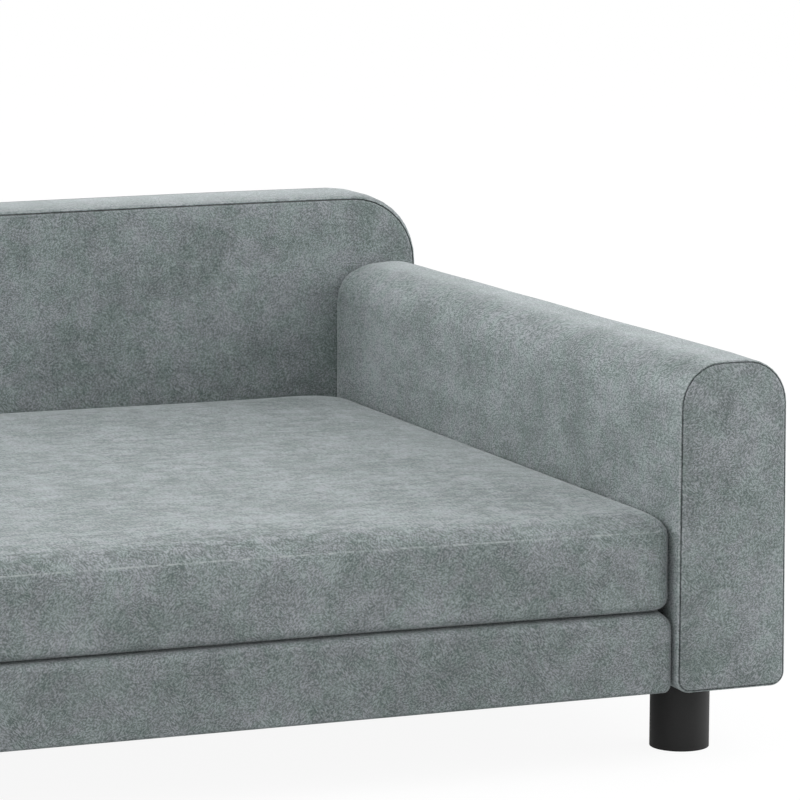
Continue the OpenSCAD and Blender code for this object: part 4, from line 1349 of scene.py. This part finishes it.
def spun(bm, outline, centre):
    """Turns an outline of radius and height pairs all the way round an upright axis."""
    points = [bm.verts.new((centre.x + r, centre.y, z)) for r, z in outline]
    edges = [bm.edges.new(pair) for pair in zip(points, points[1:])]
    bmesh.ops.spin(
        bm,
        geom=points + edges,
        cent=(centre.x, centre.y, 0),
        axis=(0, 0, 1),
        dvec=(0, 0, 0),
        angle=2 * math.pi,
        steps=LEG_FACETS,
        use_merge=True,
    )
    bmesh.ops.remove_doubles(bm, verts=bm.verts, dist=0.01 * MM)


def rounded_corner(r, z, radius, start, steps=4):
    """Points on a quarter circle round (r, z), from an angle in quarter turns."""
    angles = [math.pi / 2 * (start + k / steps) for k in range(steps + 1)]
    return [(r + radius * math.cos(a), z + radius * math.sin(a)) for a in angles]


leg_outline = [(0, GLIDE_HOLE_TOP), (GLIDE_HOLE_R, GLIDE_HOLE_TOP), (GLIDE_HOLE_R, LEG_LOW)]
leg_outline += rounded_corner(LEG_R - LEG_EDGE, LEG_LOW + LEG_EDGE, LEG_EDGE, -1)
leg_outline += rounded_corner(LEG_R - LEG_EDGE, LEG_TOP - LEG_EDGE, LEG_EDGE, 0) + [(0, LEG_TOP)]
for node in ("front_left_leg", "front_right_leg", "rear_left_leg", "rear_right_leg"):
    low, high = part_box(node)
    bm = bmesh.new()
    spun(bm, leg_outline, (low + high) / 2)
    keep(node.replace("leg", "foot"), bm, leg_plastic, "sofa", [node])

# %% [markdown]
# ## Zip
#
# The zip hides at the rear of the cushion, where it is seen when the cushion is lifted. Two rows
# of small nylon turns lie side by side on a woven tape. One turn is a block with its edges
# bevelled, and it is copied along the tape.

# %% Zip
TAPE_WALL, TAPE_EDGE = 0.6 * MM, 0.15 * MM
TAPE_PITCH = 12 * MM
COIL_WIDE, COIL_HALF, COIL_PITCH, COIL_EDGE = 1.25 * MM, 2.75 * MM, 2 * MM, 0.45 * MM
COIL_GAP = 0.2 * MM
COIL_OVERLAP = 0.46
COIL_END = 5 * MM
low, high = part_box("cushion_zip")
zip_z = (low.z + high.z) / 2

bm = bmesh.new()
tape_middle = ((low.x + high.x) / 2, low.y + TAPE_WALL / 2, zip_z)
block(bm, (high.x - low.x, TAPE_WALL, high.z - low.z), tape_middle)
bevelled(bm, bm.edges[:], TAPE_EDGE, 2)
cut_across(bm, 0, low.x + COIL_END, high.x - COIL_END, TAPE_PITCH)
keep("zip_tape", bm, zip_tape, "cushion", ["cushion_zip"])

bm = bmesh.new()
block(bm, (COIL_WIDE, high.y - low.y - TAPE_WALL - COIL_GAP, COIL_HALF))
bevelled(bm, upright_edges(bm), COIL_EDGE, 2)
one_turn = whole(bm)
coil_y = (low.y + TAPE_WALL + high.y - COIL_GAP) / 2
for row, offset in ((1, 0.0), (-1, 0.5)):
    for k in range(int((high.x - low.x - 2 * COIL_END) / COIL_PITCH)):
        copy = bmesh.ops.duplicate(bm, geom=one_turn)["geom"]
        x = low.x + COIL_END + (k + offset) * COIL_PITCH
        place = (x, coil_y, zip_z + row * COIL_HALF * COIL_OVERLAP)
        bmesh.ops.translate(bm, vec=place, verts=[g for g in copy if isinstance(g, bmesh.types.BMVert)])
bmesh.ops.delete(bm, geom=one_turn, context="VERTS")
keep("zip_coil", bm, zip_nylon, "cushion")
give("zip_slider", steel)
give("zip_pull", steel)

# %% [markdown]
# ## Floor and lights
#
# The sofa stands on a white floor in a white room. To the camera the floor is mostly white light
# of its own, so it stays white at a plain light level, and it still takes the sofa's soft shadow.
# The room gives most of the light. Four soft lamps shape it: one on the right and one on the left
# light the front and the arms at a slant, and two behind make the tops and the far arm's inner
# side pale.

# %% Floor and backdrop
FLOOR_REACH = 20.0
SHADOW_SHARE, MIRRORED_SHARE = 0.11, 0.85
ROOM_LIGHT = 0.79
FLOOR_GREY, SEEN_GREY = 0.6, 0.9
WHITE = (1, 1, 1, 1)


def plain(start, grey):
    """A plain grey surface."""
    return start.node("ShaderNodeBsdfDiffuse", {}, {"Color": (grey, grey, grey, 1)})


def chosen(share, first, second):
    """One shader, and a share of another."""
    return first.node("ShaderNodeMixShader", {}, {0: share, 1: first, 2: second})


def lit_and_own(start, share):
    """A surface that is partly lit, and for the rest has light of its own, so that it is white."""
    own_strength = (1 - share * SEEN_GREY * ROOM_LIGHT) / (1 - share)
    own = start.node("ShaderNodeEmission", {}, {"Color": WHITE, "Strength": own_strength})
    return chosen(share, own, plain(start, SEEN_GREY))


def rays(start):
    """1 for the camera's own rays, and 1 for mirrored rays."""
    return [start.node("ShaderNodeLightPath", out=kind) for kind in ("Is Camera Ray", "Is Glossy Ray")]


floor_finish = bpy.data.materials.new("floor")
start = emptied(floor_finish)
seen, mirrored = rays(start)
around = chosen(mirrored, plain(start, FLOOR_GREY), lit_and_own(start, MIRRORED_SHARE))
surface = chosen(seen, around, lit_and_own(start, SHADOW_SHARE))
start.node("ShaderNodeOutputMaterial", {}, {"Surface": surface})
bm = bmesh.new()
bmesh.ops.create_grid(bm, x_segments=1, y_segments=1, size=FLOOR_REACH)
floor_mesh = bpy.data.meshes.new("floor")
bm.to_mesh(floor_mesh)
bm.free()
floor_mesh.materials.append(floor_finish)
floor = placed("floor", floor_mesh)
floor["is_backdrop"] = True

world = bpy.data.worlds.new("room")
start = emptied(world)
dim, bright = (
    start.node("ShaderNodeBackground", {}, {"Color": WHITE, "Strength": light}) for light in (ROOM_LIGHT, 1.0)
)
seen, mirrored = rays(start)
either = start.maths("MAXIMUM", seen, mirrored)
start.node("ShaderNodeOutputWorld", {}, {"Surface": chosen(either, dim, bright)})
scene.world = world
print("floor and room ready")

# %% Lamps
LAMPS = {
    "right": ((2.8, -0.8, 1.2), 1.8, 33),
    "left": ((-2.8, -0.8, 1.4), 1.8, 23),
    "left_rear": ((-2.6, 1.6, 1.3), 1.6, 19),
    "rear": ((0.0, 1.6, 2.2), 2.4, 10),
}
LAMP_AIM = Vector((0.15, 0.0, 0.15))


def soft_lamp(name, place, size, power):
    """A square lamp of a size in metres that looks at the sofa."""
    data = bpy.data.lights.new(name, "AREA")
    data.shape = "SQUARE"
    data.size = size
    data.energy = power
    lamp = placed(name, data)
    lamp.location = place
    lamp.rotation_mode = "QUATERNION"
    lamp.rotation_quaternion = (LAMP_AIM - Vector(place)).to_track_quat("-Z", "Y")
    print("lamp", name, "of", power, "W")


for name, (place, size, power) in LAMPS.items():
    soft_lamp(name, place, size, power)

# %% [markdown]
# ## Finish
#
# The view transform is Standard, so a colour shows as it is written.

# %% Sizes and finish
scene.view_settings.view_transform = "Standard"
seen_low, seen_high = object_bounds()
print("visual box in mm", in_mm(seen_low, seen_high))
